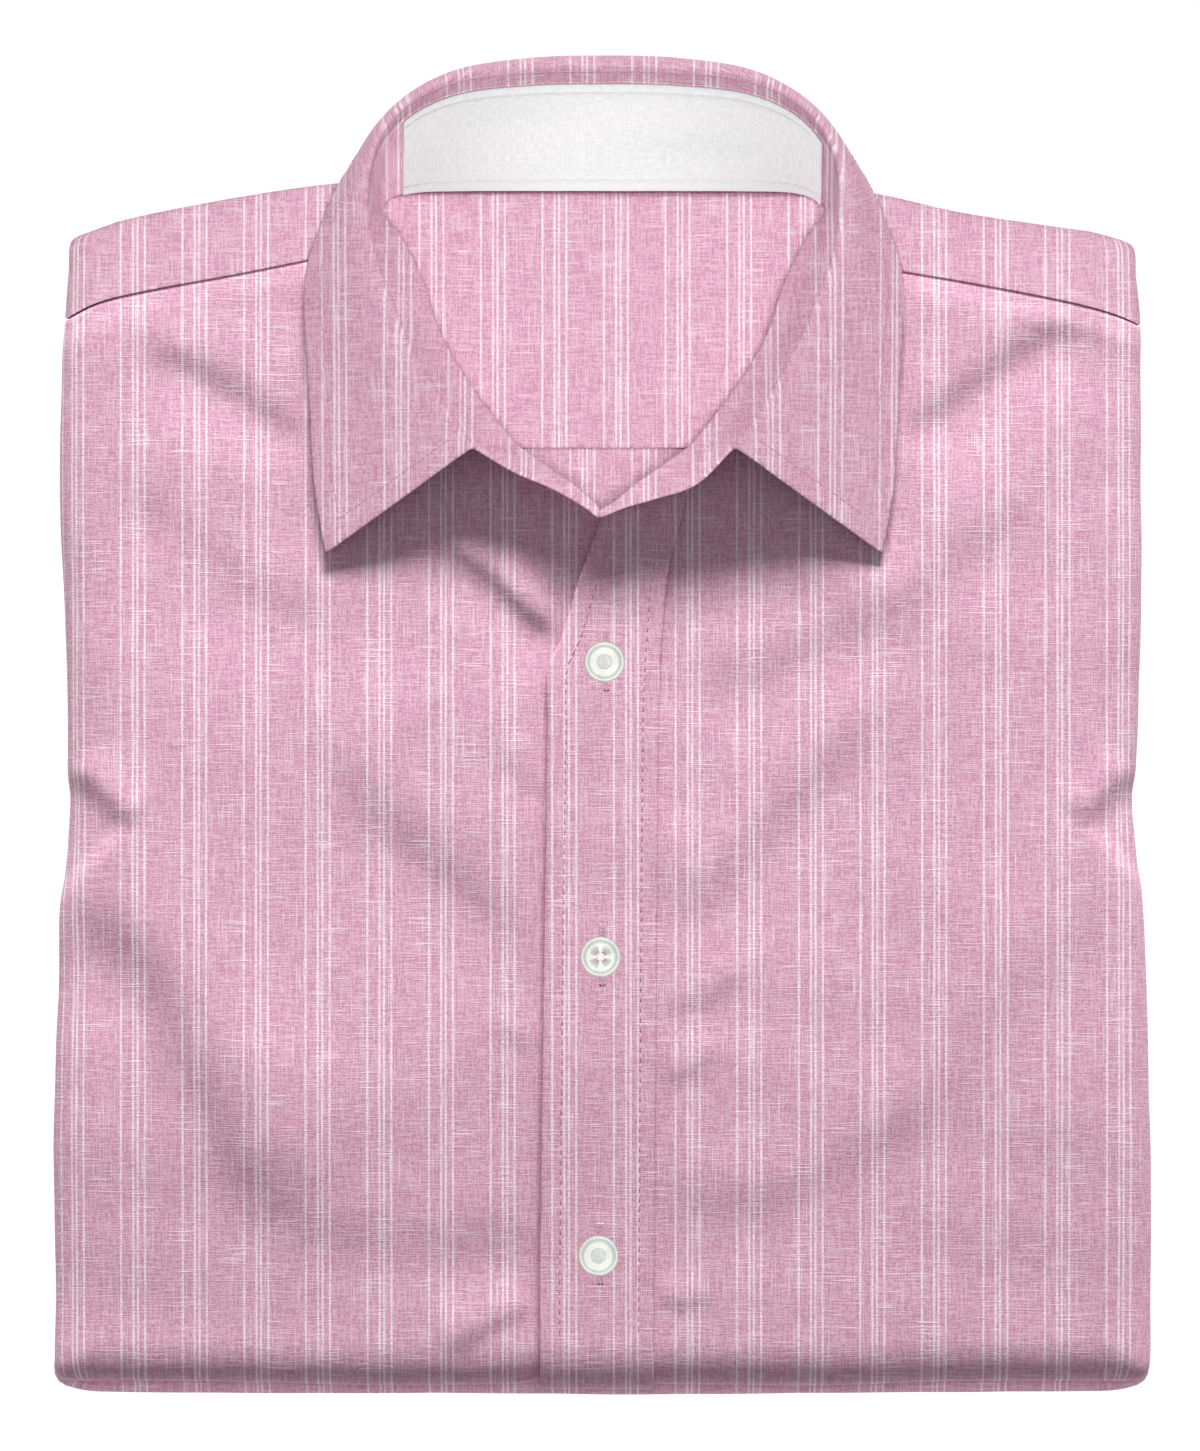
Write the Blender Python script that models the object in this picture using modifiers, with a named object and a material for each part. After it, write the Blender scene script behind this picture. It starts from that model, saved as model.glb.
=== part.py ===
"""Folded dress shirt, lying face up on a table.

Every size below is in millimetres; put() turns them to metres. +X is the wearer's left,
+Y points from the tail fold to the collar, +Z is up. The shirt rests on the plane Z = 0
and the origin is under the middle of it.
"""
from math import cos, pi, radians, sin

import bmesh
import bpy
import numpy as np

NAME = "folded_dress_shirt"
MM = 0.001

# Cloth walls and the gap that sewn or lying pieces keep.
PLY = 1.1           # one ply with its turned edges
BAND = 1.5          # two plies and interlining: collar leaf and stand
FACING = 1.0        # white inner band of the stand
GAP = 0.3
REST = 0.9          # room under a wall that only rests on the hidden layers

# Heights of the stack.
TOP = 22.0          # crown of the front panels at their rims
SWELL = 1.2         # how much the middle of the fronts stands above the rims
TUCK = 8.6          # underside of the front's rolled edge, where it tucks in
INSIDE = 16.5       # inner face of the back, seen through the neck
LOWER_LOBE = 4.1    # fold line between the two lowest layers
UPPER_LOBE = 8.3    # top of those two layers
CORE_FOOT = 10.0    # foot of the layers that fill the front's roll

# Rolled edges: how far each starts inside the outline.
SIDE_ROLL = 14.0
HEM_ROLL = 14.0
SHOULDER_ROLL = 10.0
ROLL_UNDER = 7.0    # how far the roll comes back in below its widest place
CORNER_POWER = 6.0  # squareness of the folded corners seen from above
HEM_FOLD = -198.1   # fold at the bottom of the fronts, at the middle
HEM_LAYER = -202.4  # the layer under it, which shows as a strip
HALF_SPAN = 164.0   # half width that the crown and the bow of the hem are drawn over
HEM_BOW = 1.0       # how far the fold of the hem rises towards its two ends
CROWN_UP = -25.0    # where the fronts stand highest
CROWN_REACH = 175.0  # how far up and down from there the crown dies away

# Outline of the folded body: half widths at each height up the shirt.
SIDES = (
    # up      left    right
    (-195.0, 165.4, 164.3),
    (-107.0, 165.0, 163.6),
    (-62.0, 164.5, 162.4),
    (-38.0, 162.4, 160.6),
    (-20.0, 161.2, 159.8),
    (8.0, 161.0, 161.0),
    (68.0, 163.2, 161.4),
    (120.0, 162.0, 161.2),
    (148.0, 159.9, 158.2),
)
# Shoulder outline and the seam between yoke and front, by distance from the middle.
SHOULDERS = (
    # out   left edge  right edge  left seam  right seam
    (58.0, 163.5, 161.5, 146.5, 143.5),
    (80.0, 162.6, 159.8, 141.5, 138.0),
    (107.0, 158.8, 153.9, 135.8, 133.2),
    (135.0, 153.4, 149.6, 130.4, 127.7),
    (150.0, 149.6, 147.4, 126.6, 123.8),
    (160.5, 146.6, 145.0, 121.5, 119.8),
)
# Neck seam of the fronts, from the V at the top button to the shoulder.
NECKLINE = (
    # out    up
    (-0.6, 61.6),
    (9.0, 71.0),
    (18.0, 77.2),
    (26.4, 83.2),
    (34.8, 93.6),
    (43.0, 105.0),
    (50.0, 117.5),
    (54.5, 132.0),
    (62.0, 146.5),
)
# Edges of the button placket at each height.
PLACKET = (
    # up      left    right
    (-200.0, -18.9, 14.4),
    (-110.0, -18.1, 15.0),
    (0.0, -16.8, 15.9),
    (17.0, -16.4, 16.5),
    (26.4, -12.4, 17.1),
    (44.7, -6.9, 18.8),
    (59.7, -1.2, 22.4),
    (74.0, 4.2, 26.0),
    (84.0, 8.0, 29.0),
)
# Collar sections from the middle of the back round to the end of the leaf. Each has the
# neck seam, the crest of the roll and the free edge of the leaf, and how far the leaf
# bellies out and up between crest and edge.
COLLAR = (
    # neck x, y, z         crest x, y, z          edge x, y, z         belly out, up
    (0.0, 161.0, 17.6, 0.0, 197.7, 32.4, 0.0, 184.0, 2.4, 6.3, 0.0),
    (22.0, 161.0, 17.6, 21.0, 197.2, 32.4, 24.0, 183.5, 2.4, 6.1, 0.0),
    (42.0, 161.0, 17.6, 42.6, 194.4, 32.8, 45.5, 180.5, 2.6, 5.4, 0.0),
    (57.0, 160.6, 18.2, 57.6, 187.2, 33.6, 63.2, 175.6, 4.6, 3.9, 0.0),
    (65.0, 158.0, 19.4, 67.2, 176.2, 34.8, 74.2, 168.8, 13.5, 2.4, 0.6),
    (67.0, 153.0, 21.0, 71.0, 163.0, 35.6, 79.2, 161.4, 23.6, 0.8, 1.6),
    (62.5, 147.6, 21.9, 71.2, 150.5, 36.0, 84.6, 148.5, 24.0, 0.0, 2.0),
    (57.6, 139.0, 21.9, 69.0, 138.5, 36.0, 88.6, 136.5, 24.0, 0.0, 2.0),
    (53.6, 129.5, 22.0, 65.4, 128.0, 35.8, 89.2, 124.0, 24.0, 0.0, 2.2),
    (49.6, 117.2, 22.0, 60.4, 116.0, 35.4, 88.4, 110.0, 24.1, 0.0, 2.2),
    (42.6, 104.8, 22.1, 53.8, 103.4, 34.8, 87.4, 93.5, 24.2, 0.0, 2.0),
    (34.6, 93.6, 22.4, 46.6, 91.6, 34.0, 86.4, 73.5, 24.3, 0.0, 1.6),
    (26.4, 83.4, 23.4, 40.2, 82.8, 33.0, 83.1, 52.2, 24.6, 0.0, 1.0),
)
STAND_SHARE = 0.86   # part of the way from neck seam to crest that the stand covers
BELLY_SHARE = 0.35   # part of the way from crest to edge where the belly is measured
# The stand runs on past the leaf as a tab: neck seam and top edge on each side.
TABS = (
    # neck out, up, z     left edge out, up, z   right edge out, up, z
    (18.2, 77.6, 25.0, 27.0, 76.2, 29.4, 27.5, 72.4, 29.4),
    (9.2, 71.4, 25.6, 15.0, 71.0, 27.8, 15.5, 68.2, 27.8),
    (3.6, 66.6, 26.0, 5.6, 65.6, 27.0, 6.4, 65.6, 27.0),
)
# White facing of the stand: its two ends seen from above.
FACING_LEFT = -60.6
FACING_RIGHT = 66.2
FACING_GAP = 0.5     # a little more than GAP, as both bend round the neck

# Buttons on the placket.
BUTTONS = (
    # name            across   up
    ("button_top", 0.15, 18.9),
    ("button_middle", -1.05, -69.4),
    ("button_bottom", -1.65, -159.0),
)
BUTTON_RADIUS = 6.15
BUTTON_THICK = 2.6
BUTTON_DISH = 0.7        # depth of the well inside the rim
BUTTON_RIM = 1.5         # width of the rim
BUTTON_STEPS = 28
HOLE_RADIUS = 0.65
HOLE_PITCH = 1.8         # between the middles of neighbouring holes

PINK = (0.74, 0.40, 0.53, 1.0)
DEEP_PINK = (0.66, 0.34, 0.47, 1.0)
WHITE = (0.84, 0.84, 0.84, 1.0)
PEARL = (0.77, 0.79, 0.74, 1.0)


# ---------------------------------------------------------------- curves and form

def spline(knots, values, at):
    """Smooth curve through values at increasing knots, read at one place."""
    values = np.asarray(values, dtype=float)
    last = len(knots) - 1
    k = int(np.clip(np.searchsorted(knots, at) - 1, 0, last - 1))

    def slope(i):
        low, high = max(i - 1, 0), min(i + 1, last)
        return (values[high] - values[low]) / (knots[high] - knots[low])

    span = knots[k + 1] - knots[k]
    t = min(max((at - knots[k]) / span, 0.0), 1.0)
    first = values[k] * (1 + 2 * t) * (1 - t) ** 2 + values[k + 1] * t * t * (3 - 2 * t)
    turn = slope(k) * t * (1 - t) ** 2 - slope(k + 1) * t * t * (1 - t)
    return first + turn * span


def column(table, at, index):
    """One column of a table, read smoothly at a value of its first column."""
    return float(spline([row[0] for row in table], [row[index] for row in table], at))


def ease(low, high, at):
    t = min(max((at - low) / (high - low), 0.0), 1.0)
    return t * t * (3 - 2 * t)


def half_width(up, side):
    return column(SIDES, up, 1 if side < 0 else 2)


def shoulder_edge(out, side):
    return column(SHOULDERS, abs(out), 1 if side < 0 else 2)


def yoke_seam(out, side):
    return column(SHOULDERS, abs(out), 3 if side < 0 else 4)


def hem_edge(x):
    return HEM_FOLD + HEM_BOW * (x / HALF_SPAN) ** 2


def top_height(x, y):
    """Outer face of the fronts and the shoulder yoke, before any seam or overlap."""
    across = max(1 - (x / HALF_SPAN) ** 2, 0.0)
    along = max(1 - ((y - CROWN_UP) / CROWN_REACH) ** 2, 0.0)
    return TOP + SWELL * across * along


def rolled(start, foot, reach, angle):
    """A rolled edge: how far out and how high the cloth is after turning by angle."""
    height = start + (foot - start) * (1 - cos(angle)) / 2
    if angle <= pi / 2:
        return reach * sin(angle), height
    return reach - ROLL_UNDER * (1 - sin(angle)), height


def rolled_out(side_turn):
    """How far out a side fold has gone, seen from above, after turning by an angle."""
    return SIDE_ROLL * sin(min(side_turn, pi / 2))


def corner(side_turn, end_turn):
    """Share a turn between two edges that meet: whole turn and each edge's part."""
    whole = (side_turn ** CORNER_POWER + end_turn ** CORNER_POWER) ** (1 / CORNER_POWER)
    if whole == 0:
        return 0.0, 0.0, 0.0
    return min(whole, pi), side_turn / whole, end_turn / whole


# ---------------------------------------------------------------- meshes and objects

def material(name, colour, roughness, metallic=0.0):
    finish = bpy.data.materials.new(name)
    finish.use_nodes = True
    shader = finish.node_tree.nodes["Principled BSDF"]
    shader.inputs["Base Color"].default_value = colour
    shader.inputs["Roughness"].default_value = roughness
    shader.inputs["Metallic"].default_value = metallic
    finish.diffuse_color = colour
    return finish


def put(name, mesh, finish):
    item = bpy.data.objects.new(name, mesh)
    item.data.materials.append(finish)
    parts.objects.link(item)
    return item


def grid_mesh(name, rows, keep=None):
    """A sheet from rows of points; faces run anticlockwise seen from its outer side."""
    shape = bmesh.new()
    made = {}

    def corner_vertex(i, j):
        if (i, j) not in made:
            made[i, j] = shape.verts.new([value * MM for value in rows[i][j]])
        return made[i, j]

    for i in range(len(rows) - 1):
        for j in range(len(rows[0]) - 1):
            if keep is None or keep(i, j):
                ring = ((i, j), (i + 1, j), (i + 1, j + 1), (i, j + 1))
                shape.faces.new([corner_vertex(*place) for place in ring])
    mesh = bpy.data.meshes.new(name)
    shape.to_mesh(mesh)
    shape.free()
    mesh.shade_smooth()
    return mesh


def wall(item, thickness, side=-1.0):
    """Give a sheet its thickness, on its inner side unless told otherwise."""
    solid = item.modifiers.new("wall", "SOLIDIFY")
    solid.thickness = thickness * MM
    solid.offset = side
    solid.use_even_offset = True
    return item


# ---------------------------------------------------------------- fronts and placket

FRONT_INNER = {-1: -13.0, 1: -16.2}       # hidden inner edge, measured to its own side
FRONT_COLUMNS = (-8.0, -0.6, 9.0, 18.0, 28.0, 38.0, 48.0, 56.0, 62.0)
FRONT_PARTS = (0.22, 0.5, 0.78, 1.0)
FRONT_ROWS = (0.0, 0.05, 0.12, 0.22, 0.34, 0.46, 0.58, 0.7, 0.82, 0.92, 1.0)
ROLL_TURNS = tuple(radians(turn) for turn in (28, 56, 84, 112, 146, 180))
FRONT_TUCK = 4.0                          # flat stretch inside the fold
UNDERLAP = 1.5                            # how far the left front lies under the right one
NECK_DIP = 1.5                            # how far a front sinks under its neck seam
OVERLAP_EDGE = (16.0, 26.0)               # where the left front comes up from under the right


def front_top(out, side):
    """Upper edge of a front: its inner edge, then the neckline, then the yoke seam."""
    if out < NECKLINE[0][0]:
        if side < 0:
            return NECKLINE[0][1] + 0.3 * (out - NECKLINE[0][0])
        ups = [row[0] for row in PLACKET]
        lefts = [row[1] for row in PLACKET]
        return float(np.interp(out - 0.5, lefts, ups))
    neck = column(NECKLINE, min(out, NECKLINE[-1][0]), 1) - 0.4
    return min(neck, yoke_seam(out, side) - GAP)


def front_level(out, up, side):
    """Height of a front's outer face, with the overlap under the placket."""
    height = top_height(side * out, up)
    if side < 0:
        height -= (UNDERLAP - GAP) * (1 - ease(*OVERLAP_EDGE, out))
    else:
        height += 0.2 * (1 - ease(15.0, 24.0, out))
    neck_gap = front_top(max(out, 0.0), side) - up
    near_neck = 1 - ease(0.0, 9.0, neck_gap)
    return height - NECK_DIP * near_neck * (1 - ease(58.0, 66.0, out)) * ease(-2.0, 6.0, out)


def front_point(side, place, row):
    """A point of a front. place and row are ("at" | "part" | "turn" | "tuck", value)."""
    kind, value = place
    row_kind, row_value = row
    flat_out = half_width(0.0, side) - SIDE_ROLL
    if kind == "at":
        out = value
    elif kind == "part":
        out = FRONT_COLUMNS[-1] + value * (flat_out - FRONT_COLUMNS[-1])
    else:
        out = flat_out
    side_turn = value if kind == "turn" else (pi if kind == "tuck" else 0.0)
    foot = hem_edge(side * out) + HEM_ROLL
    head = front_top(out + rolled_out(side_turn), side)
    up = head + (foot - head) * (row_value if row_kind == "part" else 1.0)
    edge = half_width(up, side) - SIDE_ROLL
    if kind == "part":
        out = FRONT_COLUMNS[-1] + value * (edge - FRONT_COLUMNS[-1])
    elif kind != "at":
        out = edge
    hem_turn = row_value if row_kind == "turn" else (pi if row_kind == "tuck" else 0.0)
    turn, to_side, to_hem = corner(side_turn, hem_turn)
    start = front_level(out, up, side)
    under = UNDERLAP * (1 - ease(*OVERLAP_EDGE, out)) if side < 0 else 0.0
    away, height = rolled(start, TUCK + under, SIDE_ROLL, turn)
    away_hem, _ = rolled(start, TUCK + under, HEM_ROLL - under, turn)
    if kind == "tuck":
        away -= value
    if row_kind == "tuck":
        away_hem -= row_value
    return (side * (out + away * to_side), up - away_hem * to_hem, height)


def front_keep(i, j, places, rows):
    """Leave the folded corner open underneath, where both rolls have turned past 90 degrees."""
    def past(step):
        return step[0] == "tuck" or (step[0] == "turn" and step[1] > pi / 2)
    return not (past(rows[i + 1]) and (past(places[j]) or past(places[j + 1])))


def front(side, name, finish):
    places = [("at", FRONT_INNER[side])] + [("at", value) for value in FRONT_COLUMNS]
    places += [("part", value) for value in FRONT_PARTS]
    places += [("turn", value) for value in ROLL_TURNS] + [("tuck", FRONT_TUCK)]
    rows = [("part", value) for value in FRONT_ROWS]
    rows += [("turn", value) for value in ROLL_TURNS] + [("tuck", FRONT_TUCK)]
    if side < 0:
        places.reverse()
    points = [[front_point(side, place, row) for place in places] for row in rows]
    mesh = grid_mesh(name, points, lambda i, j: front_keep(i, j, places, rows))
    return wall(put(name, mesh, finish), PLY)


PLACKET_SHARES = (0.0, 0.25, 0.5, 0.75, 1.0)
PLACKET_ROWS = 20
PLACKET_SHORT = 1.8                       # how far the strip stops below the stand
PLACKET_LIFT = GAP + PLY + 0.1            # outer face of the strip above the front's
PLACKET_TURNS = tuple(radians(turn) for turn in (28, 56, 84, 104))


def placket_x(share, up):
    left, right = column(PLACKET, up, 1), column(PLACKET, up, 2)
    return left + share * (right - left)


def placket_top(share):
    """Height at which a line of the placket meets the neckline."""
    up = 64.0
    for _ in range(30):
        out = max(placket_x(share, up), NECKLINE[0][0])
        up = (up + front_top(out, 1)) / 2
    return up - PLACKET_SHORT * ease(0.0, 0.4, share)


def placket(finish):
    """The strip sewn on the edge of the overlapping front, made from its points."""
    points = []
    for step in range(PLACKET_ROWS + 1):
        line = []
        for share in PLACKET_SHARES:
            head = placket_top(share)
            foot = hem_edge(0.0) + HEM_ROLL
            up = head + (foot - head) * step / PLACKET_ROWS
            out = placket_x(share, up)
            line.append((out, up, front_level(out, up, 1) + PLACKET_LIFT))
        points.append(line)
    for turn in PLACKET_TURNS:
        line = []
        for out, up, level in points[PLACKET_ROWS]:
            away, height = rolled(level, TUCK, HEM_ROLL + PLACKET_LIFT, turn)
            line.append((out, up - away, height))
        points.append(line)
    return wall(put("placket", grid_mesh("placket", points), finish), PLY)


# ---------------------------------------------------------------- yoke and back

YOKE_COLUMNS = (70.5, 84.0, 104.0, 128.0)
YOKE_INSIDE = (0.0, 24.0, 46.0, 62.0)
YOKE_FRONT = (0.0, 0.5, 1.0)
SHOULDER_TURNS = tuple(radians(turn) for turn in (30, 60, 90, 120, 150, 180))
BACK_SEAM = 83.4                          # seam between yoke and back
INNER_ROWS = (0.12, 0.3, 0.65, 1.0)
NECK_EDGE = 159.8                         # where the inside meets the collar stand
SHOULDER_WAIST = 6.0                      # the corner's width is read this far below it
BACK_HALF = 46.0
BACK_FOOT = 42.0                          # lowest that the back shows through the neck
BACK_CELLS = (6, 4)


def yoke_point(place, row):
    """A point of the yoke: front shoulder, roll over the shoulder, inside of the back.
    place is ("at", x), or ("left" | "right", turn) on the rolled sides."""
    where, value_across = place
    kind, value = row
    if where == "at":
        side, out, side_turn = -1 if value_across < 0 else 1, abs(value_across), 0.0
    else:
        side, side_turn = -1 if where == "left" else 1, value_across
        corner_up = shoulder_edge(SHOULDERS[-1][0], side) - SHOULDER_ROLL
        out = half_width(corner_up - SHOULDER_WAIST, side) - SIDE_ROLL
    edge = shoulder_edge(out + rolled_out(side_turn), side) - SHOULDER_ROLL
    if kind == "inside":
        foot = BACK_SEAM + 0.2
        if out > YOKE_INSIDE[-1]:
            return (side * out, edge + (foot - edge) * value, INSIDE)
        share = (value - INNER_ROWS[0]) / (1 - INNER_ROWS[0])
        return (side * out, NECK_EDGE + (foot - NECK_EDGE) * share, INSIDE)
    seam = yoke_seam(out + rolled_out(side_turn), side) + GAP
    up = seam + (edge - seam) * (value if kind == "front" else 1.0)
    start = top_height(side * out, up)
    turn, to_side, to_end = corner(side_turn, value if kind == "turn" else 0.0)
    if where == "at":
        away, height = rolled(start, INSIDE - PLY, SHOULDER_ROLL, turn)
        return (side * out, up + away * to_end, height)
    foot = TUCK * to_side ** 2 + (INSIDE - PLY) * (1 - to_side ** 2)
    away, height = rolled(start, foot, SIDE_ROLL, turn)
    away_end, _ = rolled(start, foot, SHOULDER_ROLL, turn)
    return (side * (out + away * to_side), up + away_end * to_end, height)


def yoke(finish):
    turns = (0.0,) + ROLL_TURNS + (pi,)
    half = [("at", x) for x in YOKE_INSIDE[1:] + YOKE_COLUMNS]
    left = [("left", turn) for turn in reversed(turns)]
    left += [("at", -x) for _, x in reversed(half)]
    across = left + [("at", YOKE_INSIDE[0])] + half + [("right", turn) for turn in turns]
    rows = [("inside", value) for value in reversed(INNER_ROWS)]
    rows += [("turn", turn) for turn in reversed(SHOULDER_TURNS)]
    rows += [("front", value) for value in reversed(YOKE_FRONT)]
    points = [[yoke_point(place, row) for place in across] for row in rows]
    side_columns = len(turns)
    neck_left = side_columns + len(YOKE_COLUMNS) - 1
    neck_right = len(across) - 1 - neck_left
    half_turn = len(INNER_ROWS) + len(SHOULDER_TURNS) // 2

    def keep(i, j):
        if j < side_columns or j >= len(across) - 1 - side_columns:
            return i >= half_turn
        if neck_left <= j < neck_right:
            return i < len(INNER_ROWS) - 1
        return True

    for line in points:
        tuck_in(line, 0, 1, FRONT_TUCK)
        tuck_in(line, -1, -2, FRONT_TUCK)
    item = put("yoke", grid_mesh("yoke", points, keep), finish)
    return wall(item, PLY)


def tuck_in(line, last, before, length):
    """Carry a rolled side on inwards, flat, for a short stretch."""
    x, y, z = line[before]
    inward = length if x < 0 else -length
    line[last] = (x + inward, y, z)


def back(finish):
    """The back below the yoke seam, as far as it shows through the neck."""
    xs = np.linspace(-BACK_HALF, BACK_HALF, BACK_CELLS[0] + 1)
    ys = np.linspace(BACK_SEAM - 0.2, BACK_FOOT, BACK_CELLS[1] + 1)
    points = [[(x, y, INSIDE) for x in xs] for y in ys]
    return wall(put("back", grid_mesh("back", points), finish), PLY)


# ---------------------------------------------------------------- hidden layers

CORE_X = (0.0, 34.0, 52.0, 57.0, 96.0, 128.0, 134.0, 140.0)
CORE_Y = (-150.0, -100.0, -60.0, -36.0, -18.0, 4.0, 30.0, 36.0, 62.0, 72.0, 78.0, 104.0, 120.0)
CORE_TURNS = tuple(radians(turn) for turn in (45, 90, 135, 180))
NECK_ROOM = (53.0, 33.0)      # half width and foot of the room under the open neck
YOKE_ROOM = (136.0, 75.0)     # and of the room under the yoke's inside
OVERLAP_ROOM = 1.3            # room left where both fronts and the placket lie
CORNER_REACH = 0.89           # how far out the corners go, along each of their sides
LOBE_ROUND = 0.35             # part of a layer's height taken by each round of its edge


def core_height(x, y):
    """Top of the hidden layers: under the fronts, or lower under the inside of the back."""
    level = top_height(x, y) - PLY - REST
    level -= OVERLAP_ROOM * (1 - ease(20.0, 34.0, abs(x)))
    for half, foot in (NECK_ROOM, YOKE_ROOM):
        if abs(x) < half and y > foot:
            return INSIDE - PLY - GAP
    return level


def lobed_edge(x, y, towards, start):
    """Points down the layered edge of the stack, from its top rim to the table."""
    dx, dy = towards
    side_part, hem_part, end_part = dx * dx, max(-dy, 0.0) ** 2, max(dy, 0.0) ** 2
    total = side_part + hem_part + end_part
    parts_of = (side_part / total, hem_part / total, end_part / total)

    def mix(side, hem, end):
        return side * parts_of[0] + hem * parts_of[1] + end * parts_of[2]

    inner = PLY + REST
    under = UNDERLAP * (1 - ease(20.0, 34.0, abs(x)))
    reach = mix(SIDE_ROLL - inner, HEM_ROLL - inner - under, SHOULDER_ROLL - 1.0)
    lift = mix(0.0, under + 0.6, 0.0)
    slot = mix(0.0, 0.0, SHOULDER_ROLL - 3.5)
    low = mix(SIDE_ROLL - 0.3, HEM_FOLD - HEM_LAYER + HEM_ROLL - 0.3, SHOULDER_ROLL - 0.6)
    middle = mix(SIDE_ROLL - 1.3, HEM_FOLD - HEM_LAYER + HEM_ROLL - 0.8, SHOULDER_ROLL - 1.6)
    steps = []
    for turn in CORE_TURNS:
        away, height = rolled(start, CORE_FOOT + lift, reach, turn)
        steps.append((away, height))
    steps.append((slot, CORE_FOOT + lift))
    steps.append((slot, UPPER_LOBE))
    for outer, top, foot in ((middle, UPPER_LOBE, LOWER_LOBE), (low, LOWER_LOBE, 0.0)):
        waist = LOBE_ROUND * (top - foot)
        steps.append((outer - waist - 0.8, top))
        steps.append((outer - 0.15, top - waist))
        steps.append((outer - 0.15, foot + waist))
    steps.append((low - 2.0, 0.0))
    return [(x + dx * away, y + dy * away, height) for away, height in steps]


def folded_layers(finish):
    """Sleeves, side flaps, back and tail folded away: one rounded, layered stack."""
    xs = [-x for x in reversed(CORE_X[1:])] + list(CORE_X)

    def plan(i, j):
        """Grid place to plan position; the outermost lines follow the rolled edges."""
        outermost = j == 0 or j > len(xs)
        if outermost:
            side = -1 if j == 0 else 1
            x = side * (half_width(0.0, side) - SIDE_ROLL)
        else:
            x = xs[j - 1]
            side = -1 if x < 0 else 1
        if i == 0:
            y = hem_edge(x) + HEM_ROLL
        elif i <= len(CORE_Y):
            y = CORE_Y[i - 1]
        else:
            y = shoulder_edge(x + SIDE_ROLL * side * outermost, side) - SHOULDER_ROLL
        if outermost:
            x = side * (half_width(y, side) - SIDE_ROLL)
        return x, y

    last_i, last_j = len(CORE_Y) + 1, len(xs) + 1
    shape = bmesh.new()
    made = {}
    for i in range(last_i + 1):
        for j in range(last_j + 1):
            x, y = plan(i, j)
            made[i, j] = shape.verts.new((x * MM, y * MM, core_height(x, y) * MM))
    for i in range(last_i):
        for j in range(last_j):
            ring = ((i, j), (i, j + 1), (i + 1, j + 1), (i + 1, j))
            shape.faces.new([made[place] for place in ring])
    rim = [(0, j) for j in range(last_j)] + [(i, last_j) for i in range(last_i)]
    rim += [(last_i, j) for j in range(last_j, 0, -1)] + [(i, 0) for i in range(last_i, 0, -1)]
    rings = [[made[place] for place in rim]]
    edges = []
    for i, j in rim:
        dx = (j == last_j) - (j == 0)
        dy = (i == last_i) - (i == 0)
        if dx and dy:
            dx, dy = dx * CORNER_REACH, dy * CORNER_REACH
        x, y, z = (value / MM for value in made[i, j].co)
        edges.append(lobed_edge(x, y, (dx, dy), z))
    for step in range(len(edges[0])):
        rings.append([shape.verts.new([v * MM for v in edge[step]]) for edge in edges])
    for upper, lower in zip(rings, rings[1:]):
        for k in range(len(rim)):
            n = (k + 1) % len(rim)
            shape.faces.new((upper[k], lower[k], lower[n], upper[n]))
    shape.faces.new(rings[-1][::-1])
    mesh = bpy.data.meshes.new("folded_layers")
    shape.to_mesh(mesh)
    shape.free()
    return put("folded_layers", mesh, finish)


# ---------------------------------------------------------------- collar

LEAF_END = len(COLLAR) - 1
SECTION_FRACTIONS_STAND = (0.0, 0.33, 0.66, 1.0)
SECTION_FRACTIONS_LEAF = (0.0, 0.07, 0.15, 0.24, 0.36, 0.55, 0.77, 1.0)


def station(t):
    """Neck seam, crest, edge and belly at a place round the collar, 0 at the back."""
    table = [[-row[0], row[1], row[2], -row[3], row[4], row[5], -row[6], row[7], row[8],
              row[9], row[10]] for row in COLLAR[1:3][::-1]] + [list(row) for row in COLLAR]
    knots = list(range(-2, len(COLLAR)))
    row = spline(knots, table, abs(t))
    flip = np.array((-1.0 if t < 0 else 1.0, 1.0, 1.0))
    return row[0:3] * flip, row[3:6] * flip, row[6:9] * flip, row[9], row[10]


def section(t):
    """The collar cut across: lengths and points from neck seam over the crest to edge."""
    neck, crest, edge, belly_out, belly_up = station(t)
    seam = neck + (crest - neck) * STAND_SHARE
    seam[2] -= 0.3
    across = np.array((edge[0] - neck[0], crest[1] - neck[1], 0.0))
    if abs(t) < 4.5:
        across = crest - neck
    across[2] = 0.0
    across /= np.linalg.norm(across)
    belly = crest + (edge - crest) * BELLY_SHARE + across * belly_out
    belly[2] += belly_up
    middle = (neck + seam) / 2
    middle[2] -= 0.8
    points = np.array((neck, middle, seam, crest, belly, edge))
    steps = np.linalg.norm(np.diff(points, axis=0), axis=1)
    return np.concatenate(([0.0], np.cumsum(steps))), points


def stand_point(t, share):
    lengths, points = section(t)
    return spline(lengths, points, share * (lengths[2] - GAP))


def leaf_point(t, share):
    lengths, points = section(t)
    begin = lengths[2] + GAP
    return spline(lengths, points, begin + share * (lengths[-1] - begin))


def tab_sections(side):
    """Straight sections of the stand's tab beyond the leaf, from the leaf to the V."""
    for row in TABS:
        edge = row[6:9] if side > 0 else row[3:6]
        neck = np.array((side * row[0], row[1], row[2]))
        top = np.array((side * edge[0], edge[1], edge[2]))
        yield neck, top


def stand(finish):
    stations = np.linspace(-LEAF_END, LEAF_END, 4 * LEAF_END + 1)
    lines = []
    for t in stations:
        lines.append([stand_point(t, share) for share in SECTION_FRACTIONS_STAND])
    for side in (-1, 1):
        for neck, top in tab_sections(side):
            line = [neck + (top - neck) * share for share in SECTION_FRACTIONS_STAND]
            if side < 0:
                lines.insert(0, line)
            else:
                lines.append(line)
    points = [list(line) for line in zip(*lines)]
    return wall(put("collar_stand", grid_mesh("collar_stand", points[::-1]), finish), BAND, 0.0)


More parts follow.
